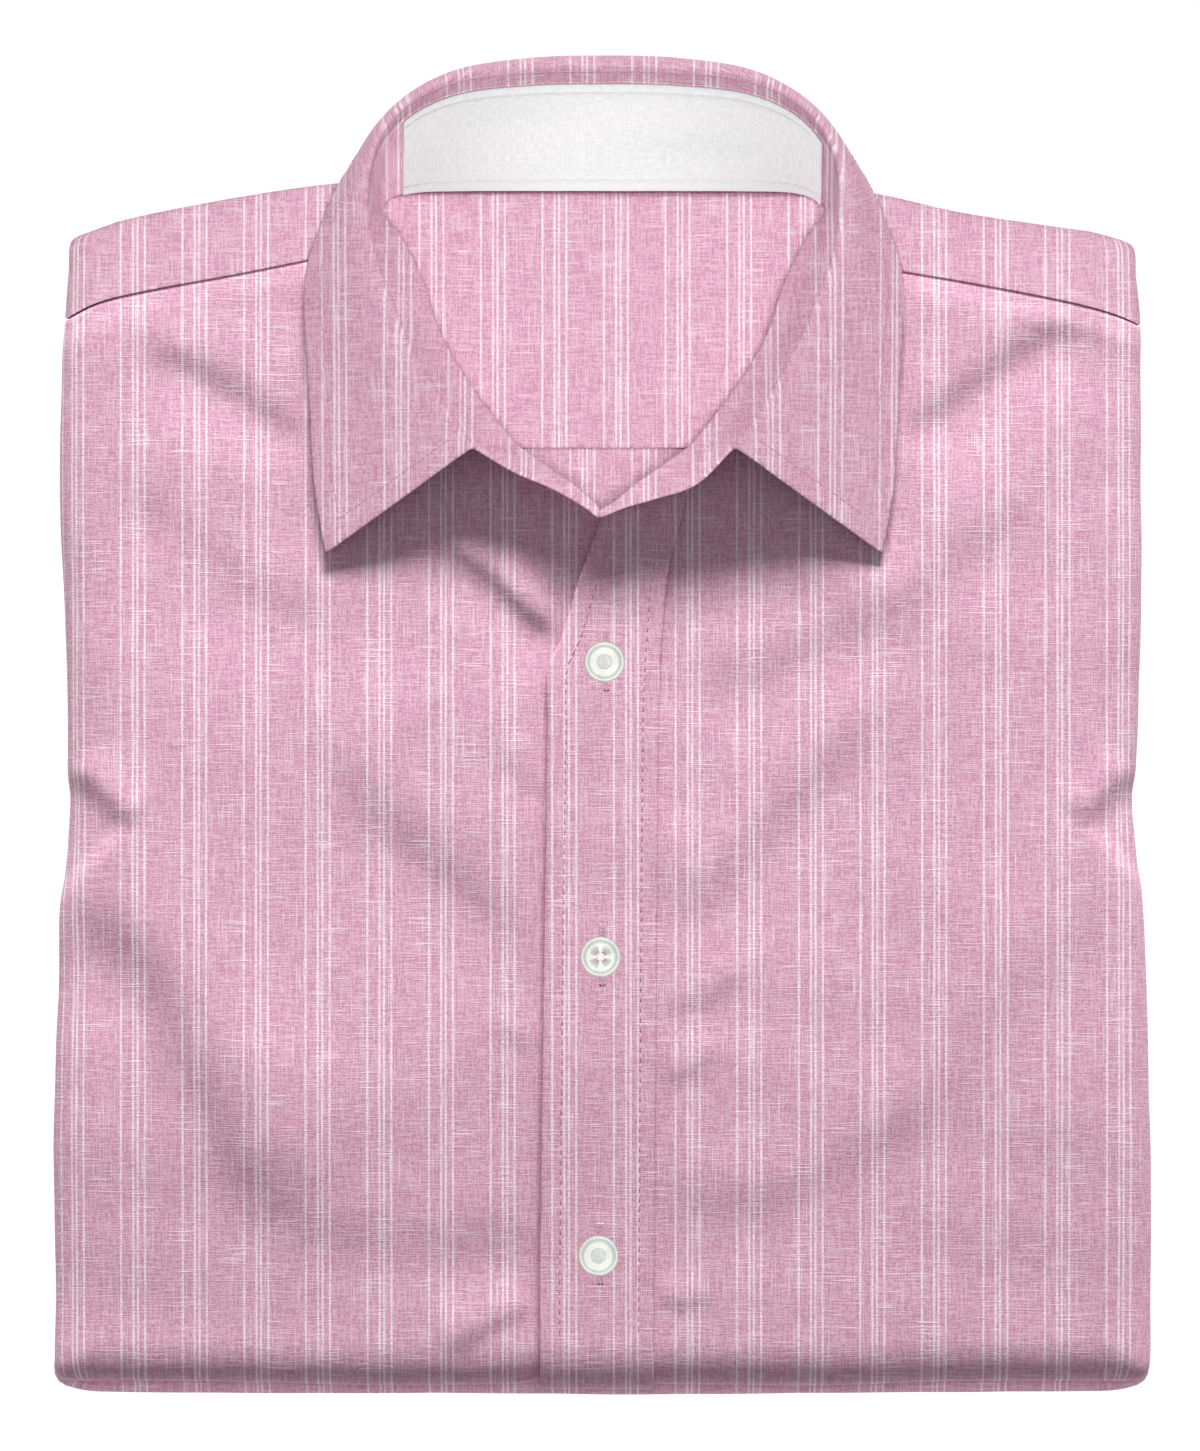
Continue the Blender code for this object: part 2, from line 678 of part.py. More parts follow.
def stand_normal(t, share):
    along = stand_point(t + 0.01, share) - stand_point(t - 0.01, share)
    across = stand_point(t, min(share + 0.02, 1.0)) - stand_point(t, share - 0.02)
    normal = np.cross(along, across)
    return normal / np.linalg.norm(normal)


def facing_end(x, share):
    """Place round the collar where the stand crosses a given x."""
    low, high = 0.0, 5.5 if x > 0 else -5.5
    for _ in range(40):
        middle = (low + high) / 2
        if abs(stand_point(middle, share)[0]) < abs(x):
            low = middle
        else:
            high = middle
    return (low + high) / 2


def facing(finish):
    """White band on the inner face of the stand, at the back of the neck."""
    shares = (0.04, 0.28, 0.52, 0.76, 0.97)
    across = np.linspace(0.0, 1.0, 25)
    away = BAND / 2 + FACING_GAP + FACING / 2
    points = []
    for share in shares:
        left, right = facing_end(FACING_LEFT, share), facing_end(FACING_RIGHT, share)
        line = []
        for part in across:
            t = left + (right - left) * part
            line.append(stand_point(t, share) + stand_normal(t, share) * away)
        points.append(line)
    item = put("collar_stand_facing", grid_mesh("collar_stand_facing", points[::-1]), finish)
    return wall(item, FACING, 0.0)


def leaf(finish):
    stations = np.linspace(-LEAF_END, LEAF_END, 3 * LEAF_END + 1)
    points = [[leaf_point(t, share) for t in stations] for share in SECTION_FRACTIONS_LEAF]
    return wall(put("collar_leaf", grid_mesh("collar_leaf", points[::-1]), finish), BAND, 0.0)


# ---------------------------------------------------------------- buttons

def button_profile():
    """Half section of a button, from the middle of its top, over the rim, to below."""
    well = BUTTON_RADIUS - BUTTON_RIM
    return (
        (0.0, BUTTON_THICK - BUTTON_DISH),
        (well - 0.6, BUTTON_THICK - BUTTON_DISH),
        (well + 0.2, BUTTON_THICK - 0.15),
        (BUTTON_RADIUS - 0.7, BUTTON_THICK),
        (BUTTON_RADIUS, BUTTON_THICK - 0.8),
        (BUTTON_RADIUS - 0.2, 0.9),
        (BUTTON_RADIUS - 1.6, 0.0),
        (0.0, 0.0),
    )


def button(name, x, y, finish):
    shape = bmesh.new()
    ring = [shape.verts.new((r * MM, 0.0, z * MM)) for r, z in button_profile()]
    for first, second in zip(ring, ring[1:]):
        shape.edges.new((first, second))
    mesh = bpy.data.meshes.new(name)
    shape.to_mesh(mesh)
    shape.free()
    item = put(name, mesh, finish)
    level = front_level(x, y, 1) + GAP + PLY
    item.location = (x * MM, y * MM, (level + GAP) * MM)
    turned = item.modifiers.new("turned", "SCREW")
    turned.steps = turned.render_steps = BUTTON_STEPS
    turned.use_merge_vertices = True
    turned.merge_threshold = 0.00001
    turned.use_smooth_shade = True
    holes = []
    for k in range(4):
        angle = pi / 4 + k * pi / 2
        holes.append(hole(f"{name}_hole_{k + 1}", item, HOLE_PITCH / 2 * 2 ** 0.5, angle))
    for cutter in holes:
        drilled = item.modifiers.new("drilled", "BOOLEAN")
        drilled.operation = "DIFFERENCE"
        drilled.solver = "EXACT"
        drilled.object = cutter
    return item


def hole(name, item, radius, angle):
    shape = bmesh.new()
    bmesh.ops.create_cone(shape, cap_ends=True, segments=10, radius1=HOLE_RADIUS * MM,
                          radius2=HOLE_RADIUS * MM, depth=3 * BUTTON_THICK * MM)
    mesh = bpy.data.meshes.new(name)
    shape.to_mesh(mesh)
    shape.free()
    cutter = bpy.data.objects.new(name, mesh)
    guides.objects.link(cutter)
    x, y, z = item.location
    cutter.location = (x + radius * cos(angle) * MM, y + radius * sin(angle) * MM, z)
    cutter.hide_render = True
    cutter.display_type = "WIRE"
    return cutter


# ---------------------------------------------------------------- the shirt

for thing in list(bpy.data.objects):
    bpy.data.objects.remove(thing, do_unlink=True)
parts = bpy.data.collections.new(NAME)
guides = bpy.data.collections.new("cutters")
bpy.context.scene.collection.children.link(parts)
bpy.context.scene.collection.children.link(guides)

chambray = material("pink_chambray", PINK, 0.85)
hidden = material("pink_chambray_folded", DEEP_PINK, 0.88)
band = material("white_poplin", WHITE, 0.8)
resin = material("pearl_resin", PEARL, 0.3)

folded_layers(hidden)
back(chambray)
yoke(chambray)
front(-1, "front_left", chambray)
front(1, "front_right", chambray)
placket(chambray)
stand(chambray)
facing(band)
leaf(chambray)
for button_name, button_x, button_y in BUTTONS:
    button(button_name, button_x, button_y, resin)
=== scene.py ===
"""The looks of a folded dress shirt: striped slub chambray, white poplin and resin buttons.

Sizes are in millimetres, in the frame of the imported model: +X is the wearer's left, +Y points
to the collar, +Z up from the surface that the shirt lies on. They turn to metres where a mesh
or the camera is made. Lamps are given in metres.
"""

from math import pi, radians

import bmesh
import bpy
import numpy as np
from mathutils import Matrix, Vector


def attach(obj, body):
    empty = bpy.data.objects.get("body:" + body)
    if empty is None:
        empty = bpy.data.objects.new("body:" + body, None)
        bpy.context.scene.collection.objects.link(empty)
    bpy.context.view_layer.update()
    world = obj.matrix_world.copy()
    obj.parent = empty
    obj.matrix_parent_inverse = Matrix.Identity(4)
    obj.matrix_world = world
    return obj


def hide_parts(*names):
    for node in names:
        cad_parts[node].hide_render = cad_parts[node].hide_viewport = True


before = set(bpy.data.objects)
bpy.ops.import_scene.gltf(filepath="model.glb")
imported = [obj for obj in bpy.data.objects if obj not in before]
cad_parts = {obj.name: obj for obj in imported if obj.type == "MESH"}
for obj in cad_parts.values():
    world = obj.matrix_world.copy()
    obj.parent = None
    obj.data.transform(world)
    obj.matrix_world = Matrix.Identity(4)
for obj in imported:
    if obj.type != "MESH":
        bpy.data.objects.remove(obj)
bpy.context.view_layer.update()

MM = 0.001

# ---------------------------------------------------------------- sizes of the shirt

PLY = 1.1
BAND = 1.5
FACING = 1.0
GAP = 0.3
TOP = 22.0
SWELL = 1.2
TUCK = 8.6
INSIDE = 16.5
LOWER_LOBE = 4.1
UPPER_LOBE = 8.3
SIDE_ROLL = 14.0
HEM_ROLL = 14.0
SHOULDER_ROLL = 10.0
ROLL_UNDER = 7.0
CORNER_POWER = 6.0
HEM_FOLD = -198.1
HEM_LAYER = -202.4
UNDERLAP = 1.5
NECK_DIP = 1.5
BACK_SEAM = 83.4
NECK_EDGE = 159.8
HALF_SPAN = 164.0           # half width that the crown and the bow of the hem are drawn over
CROWN_UP = -25.0            # where the fronts stand highest
CROWN_REACH = 175.0         # how far up and down from there the crown dies away
SHOULDER_START = 58.0       # least distance out that the shoulder tables are read at
OVERLAP_EDGE = (16.0, 26.0)     # where the left front comes up from under the right
PLACKET_LIFT = GAP + PLY + 0.1

# Half widths of the folded body up the shirt, and its shoulders out from the middle.
SIDES = (
    # up      left    right
    (-195.0, 165.4, 164.3),
    (-107.0, 165.0, 163.6),
    (-62.0, 164.5, 162.4),
    (-38.0, 162.4, 160.6),
    (-20.0, 161.2, 159.8),
    (8.0, 161.0, 161.0),
    (68.0, 163.2, 161.4),
    (120.0, 162.0, 161.2),
    (148.0, 159.9, 158.2),
)
SHOULDERS = (
    # out   left edge  right edge  left seam  right seam
    (58.0, 163.5, 161.5, 146.5, 143.5),
    (80.0, 162.6, 159.8, 141.5, 138.0),
    (107.0, 158.8, 153.9, 135.8, 133.2),
    (135.0, 153.4, 149.6, 130.4, 127.7),
    (150.0, 149.6, 147.4, 126.6, 123.8),
    (160.5, 146.6, 145.0, 121.5, 119.8),
)
NECKLINE = (
    # out    up
    (-0.6, 61.6),
    (9.0, 71.0),
    (18.0, 77.2),
    (26.4, 83.2),
    (34.8, 93.6),
    (43.0, 105.0),
    (50.0, 117.5),
    (54.5, 132.0),
    (62.0, 146.5),
)
PLACKET = (
    # up      left    right
    (-200.0, -18.9, 14.4),
    (-110.0, -18.1, 15.0),
    (0.0, -16.8, 15.9),
    (17.0, -16.4, 16.5),
    (26.4, -12.4, 17.1),
    (44.7, -6.9, 18.8),
    (59.7, -1.2, 22.4),
    (74.0, 4.2, 26.0),
    (84.0, 8.0, 29.0),
)
COLLAR = (
    # neck x, y, z         crest x, y, z          edge x, y, z         belly out, up
    (0.0, 161.0, 17.6, 0.0, 197.7, 32.4, 0.0, 184.0, 2.4, 6.3, 0.0),
    (22.0, 161.0, 17.6, 21.0, 197.2, 32.4, 24.0, 183.5, 2.4, 6.1, 0.0),
    (42.0, 161.0, 17.6, 42.6, 194.4, 32.8, 45.5, 180.5, 2.6, 5.4, 0.0),
    (57.0, 160.6, 18.2, 57.6, 187.2, 33.6, 63.2, 175.6, 4.6, 3.9, 0.0),
    (65.0, 158.0, 19.4, 67.2, 176.2, 34.8, 74.2, 168.8, 13.5, 2.4, 0.6),
    (67.0, 153.0, 21.0, 71.0, 163.0, 35.6, 79.2, 161.4, 23.6, 0.8, 1.6),
    (62.5, 147.6, 21.9, 71.2, 150.5, 36.0, 84.6, 148.5, 24.0, 0.0, 2.0),
    (57.6, 139.0, 21.9, 69.0, 138.5, 36.0, 88.6, 136.5, 24.0, 0.0, 2.0),
    (53.6, 129.5, 22.0, 65.4, 128.0, 35.8, 89.2, 124.0, 24.0, 0.0, 2.2),
    (49.6, 117.2, 22.0, 60.4, 116.0, 35.4, 88.4, 110.0, 24.1, 0.0, 2.2),
    (42.6, 104.8, 22.1, 53.8, 103.4, 34.8, 87.4, 93.5, 24.2, 0.0, 2.0),
    (34.6, 93.6, 22.4, 46.6, 91.6, 34.0, 86.4, 73.5, 24.3, 0.0, 1.6),
    (26.4, 83.4, 23.4, 40.2, 82.8, 33.0, 83.1, 52.2, 24.6, 0.0, 1.0),
)
STAND_SHARE = 0.86
BELLY_SHARE = 0.35
TABS = (
    # neck out, up, z     left edge out, up, z   right edge out, up, z
    (18.2, 77.6, 25.0, 27.0, 76.2, 29.4, 27.5, 72.4, 29.4),
    (9.2, 71.4, 25.6, 15.0, 71.0, 27.8, 15.5, 68.2, 27.8),
    (3.6, 66.6, 26.0, 5.6, 65.6, 27.0, 6.4, 65.6, 27.0),
)
# Where the two tabs meet at the V: neck seam and top edge.
TAB_TIPS = {
    -1: ((-1.7, 64.4, 26.0), (-1.9, 62.6, 26.2)),
    1: ((-0.5, 64.4, 26.3), (-0.9, 62.6, 26.5)),
}
FACING_LEFT = -60.6
FACING_RIGHT = 66.2
FACING_GAP = 0.5

# Stripes: where a group's first line falls on each piece.
REPEAT = 18.48
FIRST_FRONT = -33.99
FIRST_COLLAR = -28.56
FIRST_INSIDE = -18.48

# Creases of the fronts. Each is a step down towards the hem: how deep, how wide the slope,
# how far the cloth above and below it is lifted or sunk, and the share that is lift
# (1: a ridge above the line, -1: a trough below it), with points along it.
CREASES = (
    # depth, slope, above, below, lift, points
    (1.7, 4.5, 16.0, 14.0, -0.5, ((-146, 117), (-120, 106), (-104, 96), (-86, 81))),
    (1.4, 8.0, 22.0, 20.0, 0.0, ((-150, 74), (-128, 60), (-104, 41), (-76, 27))),
    (4.0, 9.0, 34.0, 22.0, 0.4, ((-170, -50), (-148, -61), (-131, -84), (-119, -110),
                                 (-109, -132), (-100, -152))),
    (1.2, 8.0, 24.0, 20.0, 0.3, ((-108, -142), (-88, -151), (-66, -155), (-40, -155), (-6, -150))),
    (1.9, 7.0, 30.0, 18.0, 0.4, ((-92, 8), (-76, -16), (-58, -34), (-38, -51), (-16, -68))),
    (0.8, 4.0, 9.0, 8.0, 0.2, ((-32, -4), (-26, -14), (-18, -23))),
    (0.7, 4.0, 8.0, 8.0, 0.2, ((-34, -90), (-27, -94), (-18, -99))),
    (1.3, 3.0, 10.0, 7.0, 0.6, ((-50, -189), (-36, -182), (-20, -173))),
    (1.9, 4.5, 16.0, 14.0, -0.5, ((148, 126), (124, 112), (104, 98), (86, 85))),
    (1.4, 7.0, 20.0, 22.0, 0.0, ((152, 84), (124, 66), (95, 41), (70, 27), (40, 15), (20, 6))),
    (1.9, 7.0, 28.0, 18.0, 0.4, ((90, 14), (70, -8), (52, -28), (36, -46), (20, -66))),
    (0.8, 3.5, 10.0, 8.0, 0.3, ((44, -72), (32, -82), (16, -87))),
    (0.6, 3.5, 9.0, 8.0, 0.3, ((38, -98), (27, -104), (15, -107))),
    (1.3, 7.0, 22.0, 22.0, 0.5, ((112, -94), (92, -118), (72, -131), (48, -141), (14, -147))),
    (0.8, 3.0, 8.0, 8.0, 0.5, ((34, -170), (24, -174), (14, -172))),
    (3.2, 3.4, 10.0, 14.0, 0.1, ((-52, 58), (-36, 46), (-24, 34), (-9, 23))),
    (0.8, 9.0, 30.0, 24.0, 0.0, ((164, -54), (140, -66), (116, -88), (104, -120))),
)
# Notches where the side folds break, at the ends of the waist crease.
NOTCHES = (
    # depth, slope, above, below, lift, points
    (2.5, 3.6, 9.0, 34.0, 0.1, ((-161, -12), (-154, -19), (-147, -26), (-141, -32))),
    (2.3, 3.6, 9.0, 34.0, 0.1, ((161, -12), (154, -19), (148, -25), (142, -31))),
)


# ---------------------------------------------------------------- curves and form

def curve(knots, values):
    """A smooth curve through values at increasing knots, as a function of an array."""
    knots, values = np.asarray(knots, float), np.asarray(values, float)
    last = len(knots) - 1
    low = np.maximum(np.arange(last + 1) - 1, 0)
    high = np.minimum(np.arange(last + 1) + 1, last)
    span = (knots[high] - knots[low]).reshape((-1,) + (1,) * (values.ndim - 1))
    slopes = (values[high] - values[low]) / span

    def read(at):
        at = np.clip(np.asarray(at, float), knots[0], knots[-1])
        k = np.clip(np.searchsorted(knots, at) - 1, 0, last - 1)
        step = knots[k + 1] - knots[k]
        t = (at - knots[k]) / step
        for _ in range(values.ndim - 1):
            t, step = t[..., None], step[..., None]
        level = values[k] * (1 + 2 * t) * (1 - t) ** 2 + values[k + 1] * t * t * (3 - 2 * t)
        return level + step * (slopes[k] * t * (1 - t) ** 2 - slopes[k + 1] * t * t * (1 - t))

    return read


def column(table, index):
    return curve([row[0] for row in table], [row[index] for row in table])


side_curves = {-1: column(SIDES, 1), 1: column(SIDES, 2)}
shoulder_curves = {-1: column(SHOULDERS, 1), 1: column(SHOULDERS, 2)}
seam_curves = {-1: column(SHOULDERS, 3), 1: column(SHOULDERS, 4)}
neck_curve = column(NECKLINE, 1)
placket_left, placket_right = column(PLACKET, 1), column(PLACKET, 2)


def ease(low, high, at):
    t = np.clip((at - low) / (high - low), 0.0, 1.0)
    return t * t * (3 - 2 * t)


def by_side(curves, side, at):
    return np.where(np.asarray(side) < 0, curves[-1](at), curves[1](at))


def half_width(up, side):
    return by_side(side_curves, side, up)


def shoulder_edge(out, side):
    return by_side(shoulder_curves, side, np.maximum(np.abs(out), SHOULDER_START))


def yoke_seam(out, side):
    return by_side(seam_curves, side, np.maximum(np.abs(out), SHOULDER_START))


def hem_edge(x):
    return HEM_FOLD + (x / HALF_SPAN) ** 2


def top_height(x, y):
    across = np.maximum(1 - (x / HALF_SPAN) ** 2, 0.0)
    along = np.maximum(1 - ((y - CROWN_UP) / CROWN_REACH) ** 2, 0.0)
    return TOP + SWELL * across * along


def rolled(start, foot, reach, angle):
    """A rolled edge: how far out and how high the cloth is after turning by angle."""
    height = start + (foot - start) * (1 - np.cos(angle)) / 2
    under = reach - ROLL_UNDER * (1 - np.sin(angle))
    return np.where(angle <= pi / 2, reach * np.sin(angle), under), height


def rolled_out(side_turn):
    """How far out a side fold has gone, seen from above, after turning by an angle."""
    return SIDE_ROLL * np.sin(np.minimum(side_turn, pi / 2))


def corner(side_turn, end_turn):
    """Share a turn between two edges that meet: whole turn and each edge's part."""
    whole = (side_turn ** CORNER_POWER + end_turn ** CORNER_POWER) ** (1 / CORNER_POWER)
    safe = np.maximum(whole, 1e-9)
    return np.minimum(whole, pi), side_turn / safe, end_turn / safe


def rolled_length(reach, drop, angle):
    """Cloth used by a roll up to an angle, close enough to lay the stripes by."""
    turns = np.linspace(0.0, pi, 61)
    away, height = rolled(0.0, -drop, reach, turns)
    lengths = np.concatenate(([0.0], np.cumsum(np.hypot(np.diff(away), np.diff(height)))))
    return np.interp(angle, turns, lengths)


def waves(x, y, seed, length, height):
    """Low, uneven waves: what hand-folded cloth has between its creases."""
    rng = np.random.default_rng(seed)
    total = 0.0
    for _ in range(5):
        angle, phase = rng.uniform(0, pi), rng.uniform(0, 2 * pi)
        size = length * rng.uniform(0.7, 1.5)
        total = total + np.sin((x * np.cos(angle) + y * np.sin(angle)) * 2 * pi / size + phase)
    return height * total / 5


# ---------------------------------------------------------------- creases

def nearest_on(path, x, y):
    """Signed distance to a path, positive on its lower side, and how far along it is."""
    knots = np.linspace(0.0, 1.0, len(path))
    line = curve(knots, path)(np.linspace(0.0, 1.0, 40))
    best = np.full(x.shape, 1e9)
    signed, along = np.zeros(x.shape), np.zeros(x.shape)
    for k, (a, b) in enumerate(zip(line, line[1:])):
        d = b - a
        size = max(float(np.hypot(*d)), 1e-6)
        t = np.clip(((x - a[0]) * d[0] + (y - a[1]) * d[1]) / size ** 2, 0.0, 1.0)
        dx, dy = x - (a[0] + t * d[0]), y - (a[1] + t * d[1])
        away = np.hypot(dx, dy)
        down = (-d[1], d[0]) if d[0] < 0 else (d[1], -d[0])
        closer = away < best
        best = np.where(closer, away, best)
        signed = np.where(closer, np.sign(dx * down[0] + dy * down[1]) * away, signed)
        along = np.where(closer, (k + t) / (len(line) - 1), along)
    return signed, along


def creased(table, x, y):
    """Height that a table of creases gives the cloth at each place."""
    x, y = np.broadcast_arrays(np.asarray(x, float), np.asarray(y, float))
    total = np.zeros(x.shape)
    for depth, slope, above, below, lift, path in table:
        away, along = nearest_on(path, x, y)
        step = (lift - np.tanh(away / slope)) / 2
        fade = np.exp(-(away / np.where(away < 0, above, below)) ** 2)
        ends = ease(0.0, 0.25, along) * ease(0.0, 0.25, 1 - along)
        total = total + depth * step * fade * ends
    return total


def relief(x, y):
    """Everything that takes the fronts off their plain form, in millimetres."""
    stiff = 1 - 0.6 * (ease(-19.0, -15.0, x) * (1 - ease(13.0, 17.0, x)))
    soft = waves(x, y, 3, 95.0, 1.0) + waves(x, y, 8, 38.0, 0.22)
    under_leaf = (1 - ease(88.0, 98.0, np.abs(x))) * ease(40.0, 60.0, y)
    total = (soft + creased(CREASES, x, y)) * stiff + creased(NOTCHES, x, y)
    return np.where(total > 0, total * (1 - under_leaf), total)


# ---------------------------------------------------------------- shells

def grid(*parts):
    """Values spread over one grid and joined place by place."""
    return np.stack(np.broadcast_arrays(*parts), axis=2)


def grid_normals(points):
    along = np.gradient(points, axis=0)
    across = np.gradient(points, axis=1)
    normal = np.cross(along, across)
    size = np.linalg.norm(normal, axis=2, keepdims=True)
    return normal / np.maximum(size, 1e-9)


def shell(name, points, cloth, thickness, centred=False, keep=None):
    """A closed cloth wall from a grid of points, with round edges and cloth places as UV."""
    points = np.asarray(points, float)
    rows, cols = points.shape[:2]
    normal = grid_normals(points)
    outer = points + normal * (thickness / 2 if centred else 0.0)
    inner = outer - normal * thickness
    keep = np.ones((rows - 1, cols - 1), bool) if keep is None else keep
    index = np.arange(rows * cols).reshape(rows, cols)
    a, b = index[:-1, :-1][keep], index[1:, :-1][keep]
    c, d = index[1:, 1:][keep], index[:-1, 1:][keep]
    front = np.stack((a, b, c, d), axis=1)
    count = rows * cols
    faces = [front, front[:, ::-1] + count]
    edges = np.concatenate([front[:, [0, 1]], front[:, [1, 2]], front[:, [2, 3]], front[:, [3, 0]]])
    keys = np.sort(edges, axis=1)
    _, back, times = np.unique(keys, axis=0, return_inverse=True, return_counts=True)
    rim = edges[times[back.reshape(-1)] == 1]
    flat_outer, flat_inner = outer.reshape(-1, 3), inner.reshape(-1, 3)
    flat_normal = normal.reshape(-1, 3)
    away = np.zeros((count, 3))
    heading = flat_outer[rim[:, 1]] - flat_outer[rim[:, 0]]
    heading /= np.maximum(np.linalg.norm(heading, axis=1, keepdims=True), 1e-9)
    for end in (0, 1):
        np.add.at(away, rim[:, end], np.cross(heading, flat_normal[rim[:, end]]))
    used = np.unique(rim)
    away[used] /= np.maximum(np.linalg.norm(away[used], axis=1, keepdims=True), 1e-9)
    place = np.full(count, -1)
    place[used] = np.arange(len(used))
    middle = (flat_outer[used] + flat_inner[used]) / 2
    half = thickness / 2
    rings = []
    for turn in (pi / 4, pi / 2, 3 * pi / 4):
        rings.append(middle + away[used] * half * 0.8 * np.sin(turn)
                     + flat_normal[used] * half * np.cos(turn))
    verts = np.concatenate([flat_outer, flat_inner] + rings)
    start = [rim[:, 0], rim[:, 1]]
    for k in range(len(rings) + 1):
        base = 2 * count + k * len(used)
        if k < len(rings):
            nxt = [base + place[rim[:, 0]], base + place[rim[:, 1]]]
        else:
            nxt = [rim[:, 0] + count, rim[:, 1] + count]
        faces.append(np.stack((start[1], start[0], nxt[0], nxt[1]), axis=1))
        start = nxt
    faces = np.concatenate(faces)
    flat_cloth = np.asarray(cloth, float).reshape(-1, 2)
    places = np.concatenate([flat_cloth, flat_cloth] + [flat_cloth[used]] * len(rings))
    return solid(name, verts, faces, places)


def placed(name, data):
    """A new object, in the scene."""
    item = bpy.data.objects.new(name, data)
    bpy.context.scene.collection.objects.link(item)
    return item


def mesh_of(name, shape):
    """The mesh of a bmesh, which is freed."""
    mesh = bpy.data.meshes.new(name)
    shape.to_mesh(mesh)
    shape.free()
    return mesh


def smooth_mesh(name, verts, faces):
    """A smooth mesh from points in millimetres."""
    mesh = bpy.data.meshes.new(name)
    mesh.from_pydata((verts * MM).tolist(), [], faces)
    mesh.shade_smooth()
    mesh.update()
    return mesh


def solid(name, verts, faces, places):
    """A cloth object from points, quads and cloth places, unused points dropped."""
    used, faces = np.unique(faces, return_inverse=True)
    faces = faces.reshape(-1, 4)
    mesh = smooth_mesh(name, verts[used], faces.tolist())
    layer = mesh.uv_layers.new(name="cloth")
    spots = places[used][faces.reshape(-1)] * MM
    layer.data.foreach_set("uv", spots.astype(np.float32).reshape(-1))
    return placed(name, mesh)


def dress(item, node, finish):
    """Ride, stand for a node if there is one, and wear a material."""
    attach(item, "root")
    if node:
        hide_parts(node)
    item.data.materials.clear()
    item.data.materials.append(finish)
    return item


# ---------------------------------------------------------------- materials

def linear(code):
    """sRGB hex colour to linear values."""
    parts = np.array([int(code[k:k + 2], 16) / 255 for k in (1, 3, 5)])
    low, high = parts / 12.92, ((parts + 0.055) / 1.055) ** 2.4
    return tuple(np.where(parts <= 0.04045, low, high)) + (1.0,)


def add(tree, kind, inputs=(), **settings):
    """Add one node: settings are its own fields, inputs are values or sockets to link."""
    item = tree.nodes.new(kind)
    for field, value in settings.items():
        setattr(item, field, value)
    for slot, value in dict(inputs).items():
        if isinstance(value, bpy.types.NodeSocket):
            tree.links.new(value, item.inputs[slot])
        else:
            item.inputs[slot].default_value = value
    return item


def blank_material(name, values):
    """A new material with plain values on its shader's own sockets."""
    finish = bpy.data.materials.new(name)
    finish.use_nodes = True
    shader = finish.node_tree.nodes["Principled BSDF"]
    for socket, value in values.items():
        shader.inputs[socket].default_value = value
    return finish, finish.node_tree, shader


def streaks(tree, places, across, along, seed):
    """Noise drawn out into threads: sizes in millimetres across and along the cloth."""
    scaled = add(tree, "ShaderNodeVectorMath", {0: places, 1: (1 / across, 1 / along, 1.0)},
                 operation="MULTIPLY")
    moved = add(tree, "ShaderNodeVectorMath", {0: scaled.outputs[0], 1: (seed, seed * 0.7, 0.0)},
                operation="ADD")
    noise = add(tree, "ShaderNodeTexNoise", {"Vector": moved.outputs[0], "Scale": 1.0,
                "Detail": 1.0, "Roughness": 0.5}, noise_dimensions="2D")
    return noise.outputs[0]


def ramp(tree, value, low, high, first=0.0, last=1.0):
    """A smooth step of a value between two levels."""
    return add(tree, "ShaderNodeMapRange", {0: value, 1: low, 2: high, 3: first, 4: last},
               interpolation_type="SMOOTHSTEP").outputs[0]


def reckon(tree, operation, *values):
    return add(tree, "ShaderNodeMath", dict(enumerate(values)), operation=operation).outputs[0]


def sum_of(tree, *values):
    total = values[0]
    for value in values[1:]:
        total = reckon(tree, "ADD", total, value)
    return total


def times(tree, first, second):
    return reckon(tree, "MULTIPLY", first, second)


def blend_colours(tree, share, first, second):
    mixed = add(tree, "ShaderNodeMix", {0: share, 6: first, 7: second}, data_type="RGBA")
    return mixed.outputs[2]


def clouds(tree, scale, detail):
    """Soft noise through the piece itself."""
    spot = add(tree, "ShaderNodeTexCoord")
    return add(tree, "ShaderNodeTexNoise", {"Vector": spot.outputs["Object"], "Scale": scale,
               "Detail": detail}).outputs[0]


def weave(tree, shader, colour, height, strength, depth):
    """Give the shader its colour and the small relief of its threads."""
    tree.links.new(colour, shader.inputs["Base Color"])
    bump = add(tree, "ShaderNodeBump", {"Height": height, "Strength": strength,
               "Distance": depth})
    tree.links.new(bump.outputs[0], shader.inputs["Normal"])


def millimetre_places(tree):
    """Places on the cloth, in millimetres across and along the weave."""
    layer = add(tree, "ShaderNodeUVMap", uv_map="cloth")
    scaled = add(tree, "ShaderNodeVectorMath", {0: layer.outputs[0], 1: (1000.0,) * 3},
                 operation="MULTIPLY")
    return scaled.outputs[0]


